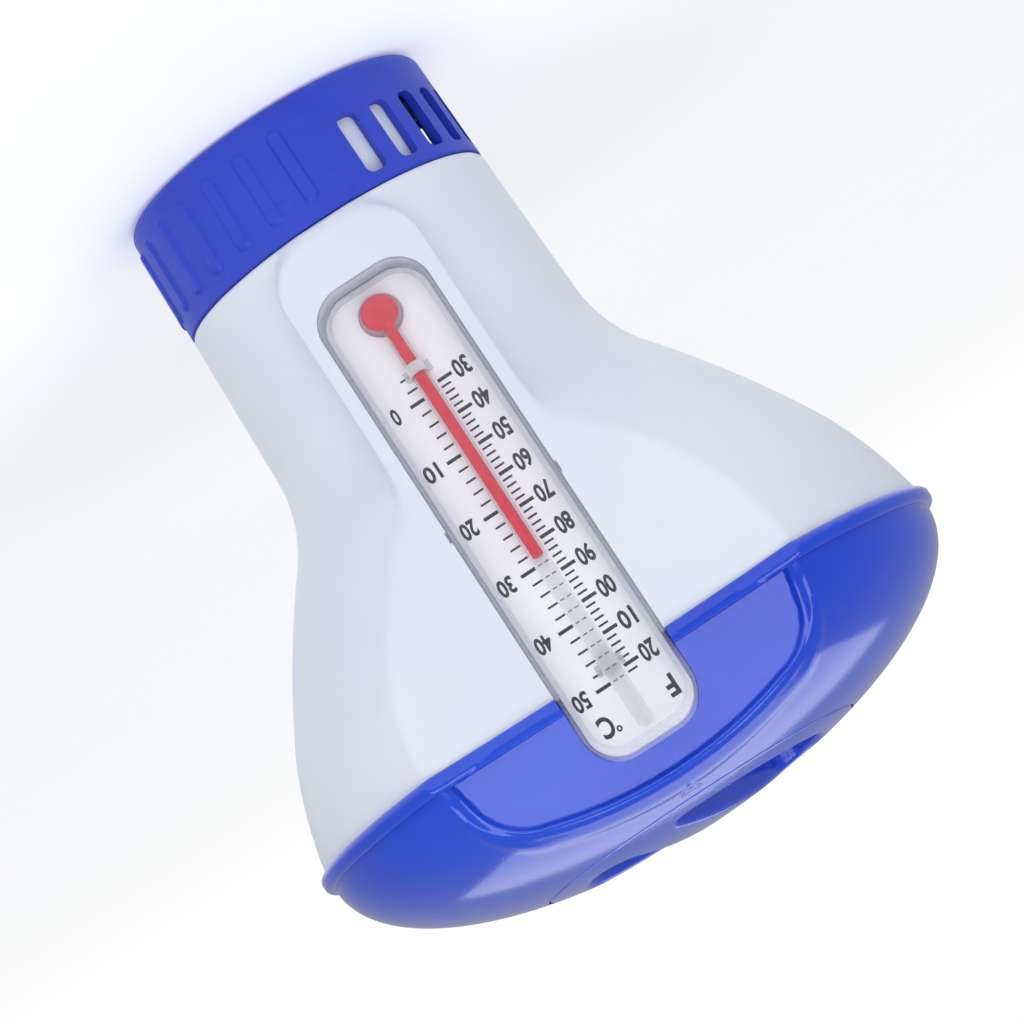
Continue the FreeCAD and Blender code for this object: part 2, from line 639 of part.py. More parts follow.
def cover():
    soft = softened("coverSoft", caseBlock("coverSolid", "0", "0"), "caseEdge", "0")
    whole = fuse("coverWhole", soft, lugBlock("coverLugs", "0", "-caseEdge"))
    inside = lean(raised("coverInside", "XY_Plane", rounded(
        "caseWidth / 2 - coverWall", "coverWall", "caseLength - coverWall", "caseCorner - coverWall",
        "caseCorner - coverWall"), "caseDepth", backwards=True), out="-coverWall")
    return cut("thermometer_cover", whole, inside)


def plateWithHole(name, inset, thick, sink, hole):
    """A plate inside the case with a round hole behind the bulb."""
    plate = raised(name + "Blank", "XY_Plane", rounded(
        f"caseWidth / 2 - ({inset})", inset, f"caseLength - ({inset})", f"caseCorner - ({inset})",
        f"caseCorner - ({inset})"), thick)
    lean(plate, out=sink)
    drill = lean(rod(name + "Drill", hole, "caseDepth"), along="bulbPlace", out="-caseDepth - 1")
    return cut(name, plate, drill)


def upright(thing, along, sink="tubeSink"):
    """Put a piece of revolution with its own Z along the thermometer's scale."""
    y = f"-caseReach - ({along}) * sin(tilt) + ({sink}) * cos(tilt)"
    z = f"caseFoot + ({along}) * cos(tilt) + ({sink}) * sin(tilt)"
    return place(thing, "0", y, z, "tilt", Vector(1, 0, 0))


def bulb(name, less):
    egg = doc.addObject("Part::Ellipsoid", name)
    bind(egg, Radius1=f"bulbRadius - ({less})", Radius2=f"bulbRadius - ({less})",
         Radius3=f"bulbHalfDepth - ({less})")
    egg.Angle1 = -90
    return upright(egg, "bulbPlace")


def glassTube():
    stem = upright(rod("glassStem", "tubeRadius", "tubeHead - bulbPlace"), "bulbPlace")
    tip = doc.addObject("Part::Sphere", "glassTip")
    bind(tip, Radius="tubeRadius")
    upright(tip, "tubeHead")
    bore = upright(rod("glassBore", "boreRadius", "tubeHead - bulbPlace"), "bulbPlace")
    return cut("glass_tube", fuse("glassWhole", stem, tip, bulb("glassBulb", "0")),
               fuse("glassHollow", bore, bulb("glassBulbInside", "glassWall")))


def spirit():
    column = upright(rod("spiritColumn", "boreRadius - 0.02", "spiritHead - bulbPlace"), "bulbPlace")
    return fuse("spirit", column, bulb("spiritBulb", "glassWall + 0.02"))


def tubeClip(name, along):
    """A thin strap over the tube, with two feet on the card."""
    inner = "tubeRadius + 0.03"
    outer = f"{inner} + clipWall"
    card = "caseDepth - plateWall - cardWall - 0.02"
    body = newBody(name)
    pad = body.newObject("PartDesign::Pad", name + "Pad")
    pad.Profile = outline(body, "XY_Plane", [
        ("clipWidth / 2", f"({card}) - tubeSink"),
        ("clipWidth / 2", f"({card}) - tubeSink - clipWall"),
        (outer, f"({card}) - tubeSink - clipWall"),
        (outer, "0", f"-({outer})"),
        ("0", f"-({outer})", f"-({outer})"),
        (f"-({outer})", "0"),
        (f"-({outer})", f"({card}) - tubeSink - clipWall"),
        ("-clipWidth / 2", f"({card}) - tubeSink - clipWall"),
        ("-clipWidth / 2", f"({card}) - tubeSink"),
        (f"-({inner})", f"({card}) - tubeSink"),
        (f"-({inner})", "0", inner),
        ("0", f"-({inner})", inner),
        (inner, "0"),
        (inner, f"({card}) - tubeSink")])
    bind(pad, Length="clipHeight")
    body.Tip = pad
    return upright(body, along)


NODES = {
    "body_shell": bodyShell(),
    "top_dome": topDome(),
    "lid": lid(),
    "lid_seal": lidSeal(),
    "tablet_tube": tabletTube(),
    "foot_seal": footSeal(),
    "dose_ring": doseRing(),
    "thermometer_cover": cover(),
    "thermometer_backplate": plateWithHole(
        "thermometer_backplate", "coverWall + 0.05", "plateWall", "-caseDepth", "bulbRadius + 0.4"),
    "scale_card": plateWithHole(
        "scale_card", "coverWall + 0.1", "cardWall", "-caseDepth + plateWall", "bulbRadius + 0.3"),
    "glass_tube": glassTube(),
    "spirit": spirit(),
    "lower_tube_clip": tubeClip("lower_tube_clip", "lowerClip"),
    "upper_tube_clip": tubeClip("upper_tube_clip", "upperClip"),
}

doc.recompute()
for name, piece in NODES.items():
    piece.Label = name
failed = [item.Name for item in doc.Objects if "Invalid" in item.State or "Error" in item.State]
if failed:
    raise SystemExit(f"these objects failed: {failed}")
for name, piece in NODES.items():
    if piece.Shape.isNull() or not piece.Shape.isValid():
        raise SystemExit(f"{name} has no valid shape")
    print(name, len(piece.Shape.Solids), round(piece.Shape.Volume, 1), piece.Shape.BoundBox)
for name, piece in NODES.items():
    piece.Shape.exportStep(f"parts/{name}.step")
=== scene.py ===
import math

import bmesh
import bpy
import numpy as np
from mathutils import Matrix, Vector


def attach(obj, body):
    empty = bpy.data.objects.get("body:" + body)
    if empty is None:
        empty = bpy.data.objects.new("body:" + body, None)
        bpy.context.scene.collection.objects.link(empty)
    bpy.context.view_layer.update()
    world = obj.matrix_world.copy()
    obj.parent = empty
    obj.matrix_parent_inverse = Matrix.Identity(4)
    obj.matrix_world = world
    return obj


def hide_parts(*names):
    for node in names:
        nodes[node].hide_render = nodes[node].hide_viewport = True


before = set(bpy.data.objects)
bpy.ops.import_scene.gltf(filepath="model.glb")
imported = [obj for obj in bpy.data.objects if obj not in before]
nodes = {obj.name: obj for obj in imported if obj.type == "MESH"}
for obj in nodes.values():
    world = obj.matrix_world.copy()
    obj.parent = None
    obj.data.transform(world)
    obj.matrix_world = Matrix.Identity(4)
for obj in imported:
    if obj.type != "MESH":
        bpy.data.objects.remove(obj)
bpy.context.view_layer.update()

# A pool float with a thermometer in its side, standing on its slotted ring.
# Lengths below are millimetres, and toMetres brings them into the frame.
# Angles around the object start at the front, -Y, and grow towards +X.
toMetres = 0.001
creaseAngle = 40  # edges sharper than this stay crisp
cutReach = 30.0  # how far a cutting tool stands out in front


def smoothStep(low, high, amount):
    t = np.clip((amount - low) / (high - low), 0.0, 1.0)
    return t * t * (3 - 2 * t)


def softMin(first, second, width):
    h = np.clip(0.5 + 0.5 * (second - first) / width, 0.0, 1.0)
    return second * (1 - h) + first * h - width * h * (1 - h)


def softMax(first, second, width):
    return -softMin(-first, -second, width)


def arcPoints(start, end, radius, count):
    # points on the arc from start to end, without the end; a negative radius turns right
    (x0, y0), (x1, y1) = start, end
    chord = math.hypot(x1 - x0, y1 - y0)
    side = math.copysign(1.0, radius)
    reach = math.sqrt(max(radius * radius - chord * chord / 4, 0.0))
    cx = (x0 + x1) / 2 - side * (y1 - y0) / chord * reach
    cy = (y0 + y1) / 2 + side * (x1 - x0) / chord * reach
    a0 = math.atan2(y0 - cy, x0 - cx)
    turn = side * 2 * math.asin(min(chord / 2 / abs(radius), 1.0))
    angles = [a0 + turn * n / count for n in range(count)]
    return [(cx + abs(radius) * math.cos(a), cy + abs(radius) * math.sin(a)) for a in angles]


def linePoints(start, end, count):
    return [(start[0] + (end[0] - start[0]) * n / count,
             start[1] + (end[1] - start[1]) * n / count) for n in range(count)]


def curveThrough(steps):
    # steps are (point, radius or None, count); each says how the curve leaves its point
    points = []
    for (start, radius, count), (end, _, _) in zip(steps, steps[1:]):
        straight = radius is None
        points += linePoints(start, end, count) if straight else arcPoints(start, end, radius, count)
    points.append(steps[-1][0])
    return np.array(points)


def roundedBox(across, up, half, low, high, corner):
    # signed distance to a flat box with round corners, negative inside
    dx = np.abs(across) - (half - corner)
    dy = np.abs(up - (low + high) / 2) - ((high - low) / 2 - corner)
    outside = np.hypot(np.maximum(dx, 0), np.maximum(dy, 0))
    return outside + np.minimum(np.maximum(dx, dy), 0) - corner


def anglesAround(parts):
    # parts are (from, to, step) in degrees and go once around
    steps = []
    for first, last, step in parts:
        count = max(1, round((last - first) / step))
        steps += [first + (last - first) * n / count for n in range(count)]
    return np.radians(np.array(steps))


def newPiece(name, points, faces, smoothAngle=35):
    mesh = bpy.data.meshes.new(name)
    mesh.from_pydata((np.asarray(points, float) * toMetres).tolist(), [], faces)
    mesh.update()
    piece = bpy.data.objects.new(name, mesh)
    bpy.context.scene.collection.objects.link(piece)
    shadeSmooth(piece, smoothAngle)
    return piece


def shadeSmooth(piece, angle):
    mesh = piece.data
    mesh.polygons.foreach_set("use_smooth", [True] * len(mesh.polygons))
    mesh.set_sharp_from_angle(angle=math.radians(angle))


def wrappedSkin(name, grid, smoothAngle=35):
    # a closed skin from a grid of points (around, along, xyz) that wraps both ways
    around, along, _ = grid.shape
    index = np.arange(around * along).reshape(around, along)
    right = np.roll(index, -1, axis=0)
    faces = np.stack([index, right, np.roll(right, -1, axis=1), np.roll(index, -1, axis=1)], axis=-1)
    return newPiece(name, grid.reshape(-1, 3), faces.reshape(-1, 4).tolist(), smoothAngle)


def cappedSkin(name, grid, smoothAngle=35):
    # a closed skin whose first and last rings shrink to one point each
    around, along, _ = grid.shape
    inner = along - 2
    points = np.concatenate([grid[:, 1:-1].reshape(-1, 3), grid[:, 0].mean(0)[None],
                             grid[:, -1].mean(0)[None]])
    index = np.arange(around * inner).reshape(around, inner)
    right = np.roll(index, -1, axis=0)
    body = np.stack([index[:, :-1], right[:, :-1], right[:, 1:], index[:, 1:]], axis=-1).reshape(-1, 4)
    first, last = around * inner, around * inner + 1
    faces = body.tolist()
    faces += [[first, int(right[n, 0]), int(index[n, 0])] for n in range(around)]
    faces += [[int(index[n, -1]), int(right[n, -1]), last] for n in range(around)]
    return newPiece(name, points, faces, smoothAngle)


def polar(radius, height, angle):
    return np.stack([radius * np.sin(angle), -radius * np.cos(angle), height + 0 * radius], axis=-1)


def spun(name, section, angles=None, smoothAngle=35):
    # a ring with the same closed section all round; the section runs up its outside
    if angles is None:
        angles = anglesAround([(0, 360, 2)])
    radius, height = section[:, 0][None, :], section[:, 1][None, :]
    grid = polar(radius + 0 * angles[:, None], height + 0 * angles[:, None], angles[:, None])
    return wrappedSkin(name, grid, smoothAngle)


def flatLoop(half, low, high, corner, grow=0.0, count=10):
    # the outline of a box with round corners, walked to the left, as (across, up)
    half, low, high, corner = half + grow, low - grow, high + grow, corner + grow
    points = []
    centres = ((half - corner, low + corner, -90), (half - corner, high - corner, 0),
               (corner - half, high - corner, 90), (corner - half, low + corner, 180))
    for cx, cy, start in centres:
        for n in range(count + 1):
            a = math.radians(start + 90 * n / count)
            points.append((cx + corner * math.cos(a), cy + corner * math.sin(a)))
    return points


def stackedLoops(name, loops, toWorld, smoothAngle=35, closed=False):
    # loops of equal length, each a list of (across, up, out); the ends are capped, or joined
    count = len(loops[0])
    points = [toWorld(*spot) for loop in loops for spot in loop]
    faces = []
    rings = len(loops)
    for ring in range(rings if closed else rings - 1):
        a, b = ring * count, (ring + 1) % rings * count
        for n in range(count):
            m = (n + 1) % count
            faces.append([a + n, a + m, b + m, b + n])
    if not closed:
        faces.append(list(reversed(range(count))))
        faces.append([(rings - 1) * count + n for n in range(count)])
    return newPiece(name, points, faces, smoothAngle)


def carve(piece, tool, smoothAngle=35):
    # cut a tool out of a piece and drop the tool
    faceOutwards(tool)
    modifier = piece.modifiers.new("carve", "BOOLEAN")
    modifier.operation = "DIFFERENCE"
    modifier.solver = "EXACT"
    modifier.object = tool
    depsgraph = bpy.context.evaluated_depsgraph_get()
    mesh = bpy.data.meshes.new_from_object(piece.evaluated_get(depsgraph))
    piece.modifiers.clear()
    old = piece.data
    piece.data = mesh
    mesh.name = piece.name
    bpy.data.meshes.remove(old)
    bpy.data.objects.remove(tool)
    shadeSmooth(piece, smoothAngle)
    return piece


def faceOutwards(piece):
    work = bmesh.new()
    work.from_mesh(piece.data)
    bmesh.ops.recalc_face_normals(work, faces=work.faces)
    work.to_mesh(piece.data)
    work.free()
    return piece


def joined(name, pieces):
    # several meshes as one piece
    mesh = bpy.data.meshes.new(name)
    points, faces, base = [], [], 0
    for piece in pieces:
        points += [piece.matrix_world @ v.co for v in piece.data.vertices]
        faces += [[base + v for v in face.vertices] for face in piece.data.polygons]
        base += len(piece.data.vertices)
        bpy.data.objects.remove(piece)
    mesh.from_pydata(points, [], faces)
    mesh.update()
    whole = bpy.data.objects.new(name, mesh)
    bpy.context.scene.collection.objects.link(whole)
    return whole


def finished(piece, body, slot, material, *replaced):
    piece.data.materials.clear()
    piece.data.materials.append(material)
    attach(piece, body)
    if replaced:
        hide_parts(*replaced)
    return piece


class Sock:
    # a shader value that adds its own Math nodes when it is used in an expression
    def __init__(self, maker, value):
        self.maker, self.value = maker, value

    def math(self, operation, *others):
        return self.maker.node("ShaderNodeMath", {"operation": operation}, [self, *others])

    def __add__(self, other): return self.math("ADD", other)
    def __radd__(self, other): return self.math("ADD", other)
    def __sub__(self, other): return self.math("SUBTRACT", other)
    def __rsub__(self, other): return self * -1.0 + other
    def __mul__(self, other): return self.math("MULTIPLY", other)
    def __rmul__(self, other): return self.math("MULTIPLY", other)

    def clip(self, low, high):
        return self.maker.node("ShaderNodeMapRange", {}, [self, low, high, 0.0, 1.0])


class Finish:
    # the nodes of a material or world; node() adds one, sets it up and links or fills its sockets
    def __init__(self, holder):
        self.holder = holder
        holder.use_nodes = True
        self.tree = holder.node_tree
        self.tree.nodes.clear()

    def node(self, kind, settings, inputs=(), out=0):
        made = self.tree.nodes.new(kind)
        for key, setting in settings.items():
            if key == "stops":
                ramp = made.color_ramp
                while len(ramp.elements) < len(setting):
                    ramp.elements.new(0.5)
                for element, (place, colour) in zip(ramp.elements, setting):
                    element.position, element.color = place, colour
            else:
                setattr(made, key, setting)
        pairs = inputs.items() if isinstance(inputs, dict) else enumerate(inputs)
        for key, given in pairs:
            socket = made.inputs[key]
            if isinstance(given, Sock):
                self.tree.links.new(given.value, socket)
            elif given is not None:
                socket.default_value = given
        return Sock(self, made.outputs[out]) if len(made.outputs) else None

    def noise(self, place, scale, detail=3.0, roughness=0.5):
        return self.node("ShaderNodeTexNoise", {}, {"Vector": place, "Scale": scale, "Detail": detail,
                                                    "Roughness": roughness})

    def blendColour(self, factor, first, second):
        return self.node("ShaderNodeMix", {"data_type": "RGBA"}, {0: factor, 6: first, 7: second}, out=2)

    def place(self):
        return self.node("ShaderNodeTexCoord", {}, out=3)

    def stretched(self, vector, scale):
        return self.node("ShaderNodeVectorMath", {"operation": "MULTIPLY"}, [vector, scale])

    def bump(self, height, strength, distance):
        return self.node("ShaderNodeBump", {},
                         {"Strength": strength, "Distance": distance, "Height": height})

    def finish(self, surface):
        self.node("ShaderNodeOutputMaterial", {}, {"Surface": surface})
        return self.holder


def rgb(red, green, blue):
    # an sRGB colour of 0-255 parts, as Blender's linear colour
    def linear(part):
        part /= 255
        return part / 12.92 if part <= 0.04045 else ((part + 0.055) / 1.055) ** 2.4
    return (linear(red), linear(green), linear(blue), 1.0)


def mouldedPlastic(name, look):
    # moulded plastic: cloudy colour, uneven gloss, a fine orange-peel skin and a few faint scuffs
    made = Finish(bpy.data.materials.new(name))
    spot = made.place()
    clouds = made.noise(spot, look["cloudScale"], 4.0)
    grain = made.noise(spot, look["grainScale"], 2.0, 0.6)
    scuffs = made.noise(made.stretched(spot, (1.0, 6.0, 1.0)), 90.0, 5.0, 0.7).clip(0.62, 0.74)
    colour = made.blendColour(clouds.clip(0.35, 0.65), look["colour"], look["paleColour"])
    colour = made.blendColour(scuffs * look["scuff"], colour, look["scuffColour"])
    rough = grain * look["roughRange"] + scuffs * (look["scuff"] * 0.3) + look["roughness"]
    skin = made.bump(grain, look["skin"], 0.0004)
    skin = made.node("ShaderNodeBump", {}, {"Strength": look["wave"], "Distance": 0.004,
                                            "Height": clouds, "Normal": skin})
    plastic = made.node("ShaderNodeBsdfPrincipled", {}, {
        "Base Color": colour, "Roughness": rough, "Normal": skin, "IOR": look["ior"],
        "Coat Weight": look["coat"], "Coat Roughness": look["coatRoughness"]})
    return made.finish(plastic)


whiteLook = {"colour": rgb(214, 220, 232), "paleColour": rgb(222, 227, 236),
             "scuffColour": rgb(190, 198, 214), "cloudScale": 14.0, "grainScale": 900.0,
             "roughness": 0.30, "roughRange": 0.14, "scuff": 0.10, "skin": 0.10, "wave": 0.05,
             "ior": 1.46, "coat": 0.0, "coatRoughness": 0.1}
domeLook = {"colour": rgb(16, 62, 202), "paleColour": rgb(24, 74, 211),
            "scuffColour": rgb(80, 105, 220), "cloudScale": 18.0, "grainScale": 700.0,
            "roughness": 0.10, "roughRange": 0.07, "scuff": 0.16, "skin": 0.10, "wave": 0.06,
            "ior": 1.50, "coat": 0.25, "coatRoughness": 0.08}
ringLook = {"colour": rgb(30, 58, 186), "paleColour": rgb(38, 66, 194),
            "scuffColour": rgb(80, 96, 205), "cloudScale": 26.0, "grainScale": 1100.0,
            "roughness": 0.42, "roughRange": 0.16, "scuff": 0.14, "skin": 0.22, "wave": 0.05,
            "ior": 1.46, "coat": 0.0, "coatRoughness": 0.2}
rubberLook = {"colour": rgb(96, 100, 106), "paleColour": rgb(112, 116, 122),
              "scuffColour": rgb(140, 142, 146), "cloudScale": 60.0, "grainScale": 1600.0,
              "roughness": 0.62, "roughRange": 0.2, "scuff": 0.1, "skin": 0.35, "wave": 0.1,
              "ior": 1.45, "coat": 0.0, "coatRoughness": 0.2}
blackLook = dict(rubberLook, colour=rgb(26, 26, 28), paleColour=rgb(36, 36, 38),
                 scuffColour=rgb(70, 70, 72))
tubeLook = dict(whiteLook, colour=rgb(222, 225, 230), paleColour=rgb(232, 234, 238), roughness=0.36)

whitePlastic = mouldedPlastic("whiteFloatPlastic", whiteLook)
domePlastic = mouldedPlastic("blueDomePlastic", domeLook)
lidPlastic = mouldedPlastic("blueLidPlastic", domeLook)
ringPlastic = mouldedPlastic("blueRingPlastic", ringLook)
sealRubber = mouldedPlastic("greySealRubber", rubberLook)
footRubber = mouldedPlastic("blackSealRubber", blackLook)
tubePlastic = mouldedPlastic("tabletTubePlastic", tubeLook)


def clearPlastic(name, look):
    # clear moulded plastic: see-through from the front, milky and glossy where it is seen edge on
    made = Finish(bpy.data.materials.new(name))
    spot = made.place()
    haze = made.noise(spot, look["hazeScale"], 3.0)
    wave = made.bump(haze, look["wave"], 0.002)
    facing = made.node("ShaderNodeLayerWeight", {}, {"Blend": look["edgeBlend"], "Normal": wave}, out=1)
    body = made.node("ShaderNodeBsdfPrincipled", {}, {
        "Base Color": made.blendColour(haze.clip(0.3, 0.7), look["colour"], look["paleColour"]),
        "Roughness": haze * 0.05 + look["roughness"], "IOR": 1.49, "Normal": wave})
    through = made.node("ShaderNodeBsdfTransparent", {}, [look["tint"]])
    amount = facing * look["edge"] + haze * look["haze"] + look["front"]
    return made.finish(made.node("ShaderNodeMixShader", {}, [amount.clip(0.0, 1.0), through, body]))


coverLook = {"hazeScale": 30.0, "wave": 0.12, "edgeBlend": 0.35, "colour": rgb(224, 224, 238),
             "paleColour": rgb(236, 236, 244), "roughness": 0.04,
             "tint": (0.995, 0.995, 0.997, 1.0), "edge": 0.34, "haze": 0.02, "front": 0.0}
rimLook = dict(coverLook, colour=rgb(222, 222, 240), paleColour=rgb(236, 236, 248), edge=0.42, front=0.16)
glassLook = {"hazeScale": 120.0, "wave": 0.08, "edgeBlend": 0.45, "colour": rgb(226, 229, 236),
             "paleColour": rgb(240, 241, 246), "roughness": 0.03,
             "tint": (0.992, 0.993, 0.995, 1.0), "edge": 0.26, "haze": 0.02, "front": 0.0}
clipLook = dict(glassLook, colour=rgb(238, 238, 242), paleColour=rgb(250, 250, 252), edge=0.6, front=0.42)

coverPlastic = clearPlastic("clearCoverPlastic", coverLook)
tubeGlass = clearPlastic("tubeGlass", glassLook)
clipPlastic = clearPlastic("clearClipPlastic", clipLook)
print("finishes made")


caseSize = {"reach": 48.83, "foot": 50.1986, "tilt": 9.1, "length": 141.3, "half": 15.8,
            "depth": 7.0, "corner": 10.0, "edge": 1.6, "wall": 1.1, "play": 0.15, "rim": 2.7,
            "card": 5.95, "lugRise": 0.5, "lugLength": 3.0, "lugDepth": 3.2}
leanSin = math.sin(math.radians(caseSize["tilt"]))
leanCos = math.cos(math.radians(caseSize["tilt"]))


def leaning(across, up, out):
    # a point given across, up along the scale and out of the case's front, in the object's frame
    return (across, -caseSize["reach"] - up * leanSin - out * leanCos,
            caseSize["foot"] + up * leanCos - out * leanSin)


def frontPlane(height, sink=0.0):
    # distance from the axis to a plane sunk behind the case's front, at a height
    return caseSize["reach"] + (height - caseSize["foot"]) * leanSin / leanCos - sink / leanCos


def caseTool(grow, deep, out):
    loop = flatLoop(caseSize["half"], 0, caseSize["length"], caseSize["corner"], grow)
    ends = (-caseSize["depth"] - deep, out)
    return stackedLoops("caseTool", [[(x, y, z) for x, y in loop] for z in ends], leaning)


def lugTool(grow, out):
    half = caseSize["half"] + caseSize["lugRise"] + grow
    middle, reach = caseSize["length"] / 2, caseSize["lugLength"] / 2 + grow
    loop = [(half, middle - reach), (half, middle + reach), (-half, middle + reach),
            (-half, middle - reach)]
    ends = (-caseSize["lugDepth"] - grow, out)
    return stackedLoops("lugTool", [[(x, y, z) for x, y in loop] for z in ends], leaning)


floatSize = {"foot": 32.7, "footRadius": 44.7, "neckHead": 75.0, "neckHeadRadius": 46.02,
             "bend": 40.0, "bendEnd": 97.5, "bendEndRadius": 53.8, "bow": 276.0, "shoulder": 140.0,
             "shoulderRadius": 81.3, "shoulderBow": 115.0, "head": 168.4, "rimRadius": 90.3,
             "wall": 2.2, "footEdge": 0.5, "shelf": 36.4, "mouth": 38.7, "scoopRadius": 200.0,
             "scoopSink": 0.8, "scoopEdge": 2.6, "padHalf": 20.5, "padFoot": 34.4,
             "padHead": 112.0, "padCorner": 15.0, "padSink": 0.4, "padEdge": 3.4, "padSlope": 1.0,
             "padTurn": 1.0, "padSpare": 60, "padFadeAbove": 14, "padFadeBelow": 10,
             "padRound": 0.35, "padRoundWidth": 3.2, "bendLength": 26, "bowLength": 52,
             "shoulderLength": 31, "pocketWall": 1.2, "pocketSide": 1.35, "pocketFade": 3.5,
             "step": 0.9}


def roundFloat(step):
    # the float's outline without its front features, as radius against height
    s = floatSize
    curve = curveThrough([
        ((s["footRadius"], s["foot"]), None, round((s["neckHead"] - s["foot"]) / step)),
        ((s["neckHeadRadius"], s["neckHead"]), -s["bend"], round(s["bendLength"] / step)),
        ((s["bendEndRadius"], s["bendEnd"]), s["bow"], round(s["bowLength"] / step)),
        ((s["shoulderRadius"], s["shoulder"]), s["shoulderBow"], round(s["shoulderLength"] / step)),
        ((s["rimRadius"], s["head"]), None, 1)])
    return curve[:, 0], curve[:, 1]


def hollowReach(distance, angle, bow):
    # polar radius of a hollow front surface, distance in front of the axis and bowed by a radius
    side = np.maximum(np.cos(angle), 0.05)
    inner = np.maximum(side * side - 2 * distance * np.sin(angle) ** 2 / bow, 0.0)
    reach = 2 * distance / (side + np.sqrt(inner))
    return np.where(np.abs(angle) < math.radians(60), reach, 1e3)


def floatOuter(radius, height, angle):
    # the float's outer radius with the scoop and the pad
    s = floatSize
    scoop = hollowReach(frontPlane(height, s["scoopSink"]), angle, s["scoopRadius"])
    reach = softMin(radius, scoop, s["scoopEdge"])
    pad = frontPlane(height, s["padSink"]) / np.maximum(np.cos(angle), 0.3)
    across = pad * np.sin(angle)
    edge = roundedBox(across, height, s["padHalf"], s["padFoot"], s["padHead"] + s["padSpare"],
                      s["padCorner"])
    rise = smoothStep(s["padEdge"], -s["padSlope"], edge) * (np.abs(angle) < s["padTurn"])
    rise = rise * smoothStep(s["padHead"] + s["padFadeAbove"], s["padHead"] - s["padFadeBelow"], height)
    shaved = pad - s["padRound"] * smoothStep(-s["padRoundWidth"], 0.0, edge) ** 2
    return reach + rise * np.maximum(shaved - reach, 0.0)


def makeFloat():
    s = floatSize
    angles = anglesAround([(-180, -40, 1.5), (-40, -32, 0.5), (-32, 32, 0.25), (32, 40, 0.5),
                           (40, 180, 1.5)])
    radius, height = roundFloat(s["step"])
    angle = angles[:, None]
    outer = floatOuter(radius[None, :], height[None, :], angle)
    rise = np.clip((height - s["foot"]) / s["footEdge"], 0, 1)
    lip = s["footEdge"] * (1 - np.sqrt(np.clip(1 - (1 - rise) ** 2, 0, 1)))
    outer = outer - lip[None, :]
    # inner skin: follows the outer one, and keeps behind the thermometer's pocket
    keep = height > s["shelf"]
    innerHeight = height[keep][::-1]
    inner = outer[:, keep][:, ::-1] - s["wall"]
    back = frontPlane(innerHeight, caseSize["depth"] + caseSize["play"] + s["pocketWall"])[None, :]
    behind = back / np.maximum(np.cos(angle), 0.3)
    turn = np.degrees(np.arctan((caseSize["half"] + s["pocketSide"]) / back))
    beside = smoothStep(turn + s["pocketFade"], turn, np.abs(np.degrees(angle)))
    inner = inner + beside * np.minimum(behind - inner, 0.0)
    rows = [polar(outer, height[None, :] + 0 * angle, angle),
            polar(inner, innerHeight[None, :] + 0 * angle, angle)]
    for ringRadius, ringHeight in ((s["mouth"], s["shelf"]), (s["mouth"], s["foot"])):
        rows.append(polar(ringRadius + 0 * angle, ringHeight + 0 * angle, angle))
    piece = wrappedSkin("whiteFloat", np.concatenate(rows, axis=1), creaseAngle)
    carve(piece, caseTool(caseSize["play"], caseSize["play"], cutReach), creaseAngle)
    carve(piece, lugTool(caseSize["play"], cutReach), creaseAngle)
    return finished(piece, "float", "white_shell", whitePlastic, "body_shell")


spigotSize = {"outer": 41.22, "wall": 1.8, "foot": 5.6, "head": 33.0, "lip": 0.9, "lipHeight": 2.0,
              "windowFoot": 11.0, "windowHead": 30.2, "windowStart": 52.0, "windowSpan": 172.0,
              "bar": 5.0, "windowCorner": 1.4, "windows": 3, "lipRound": 0.3, "cutInside": 2,
              "cutOutside": 3}


def curvedBlock(name, half, low, high, corner, near, far, turn):
    # an upright block with round corners that reaches out from the axis at an angle
    a = math.radians(turn)
    loop = flatLoop(half, low, high, corner, 0.0, 6)

    def toWorld(across, up, out):
        return (out * math.sin(a) + across * math.cos(a), -out * math.cos(a) + across * math.sin(a), up)
    return stackedLoops(name, [[(x, y, z) for x, y in loop] for z in (near, far)], toWorld)


def makeSpigot():
    s = spigotSize
    inner = s["outer"] - s["wall"]
    section = curveThrough([
        ((s["outer"] + s["lip"] - s["lipRound"], s["foot"]), s["lipRound"], 4),
        ((s["outer"] + s["lip"], s["foot"] + s["lipRound"]), None, 2),
        ((s["outer"] + s["lip"], s["foot"] + s["lipHeight"]), None, 2),
        ((s["outer"], s["foot"] + s["lipHeight"] + s["lip"]), None, 24),
        ((s["outer"], s["head"]), None, 2),
        ((inner, s["head"]), None, 28),
        ((inner, s["foot"]), None, 2),
        ((s["outer"] + s["lip"] - s["lipRound"], s["foot"]), None, 1)])[:-1]
    cage = spun("spigotCage", section, anglesAround([(0, 360, 1.5)]))
    share = s["windowSpan"] / s["windows"]
    for number in range(s["windows"]):
        # a window is a fan of blocks, because it spans a wide angle
        first = -s["windowStart"] - share * number
        gap = math.degrees(s["bar"] / 2 / s["outer"])
        low = first - share + (gap if number < s["windows"] - 1 else 0)
        high = first - (gap if number > 0 else 0)
        carve(cage, fanBlock("spigotWindow", low, high, s["windowFoot"], s["windowHead"],
                             inner - s["cutInside"], s["outer"] + s["cutOutside"], s["windowCorner"]))
    return finished(cage, "float", "white_shell", whitePlastic, "body_shell")


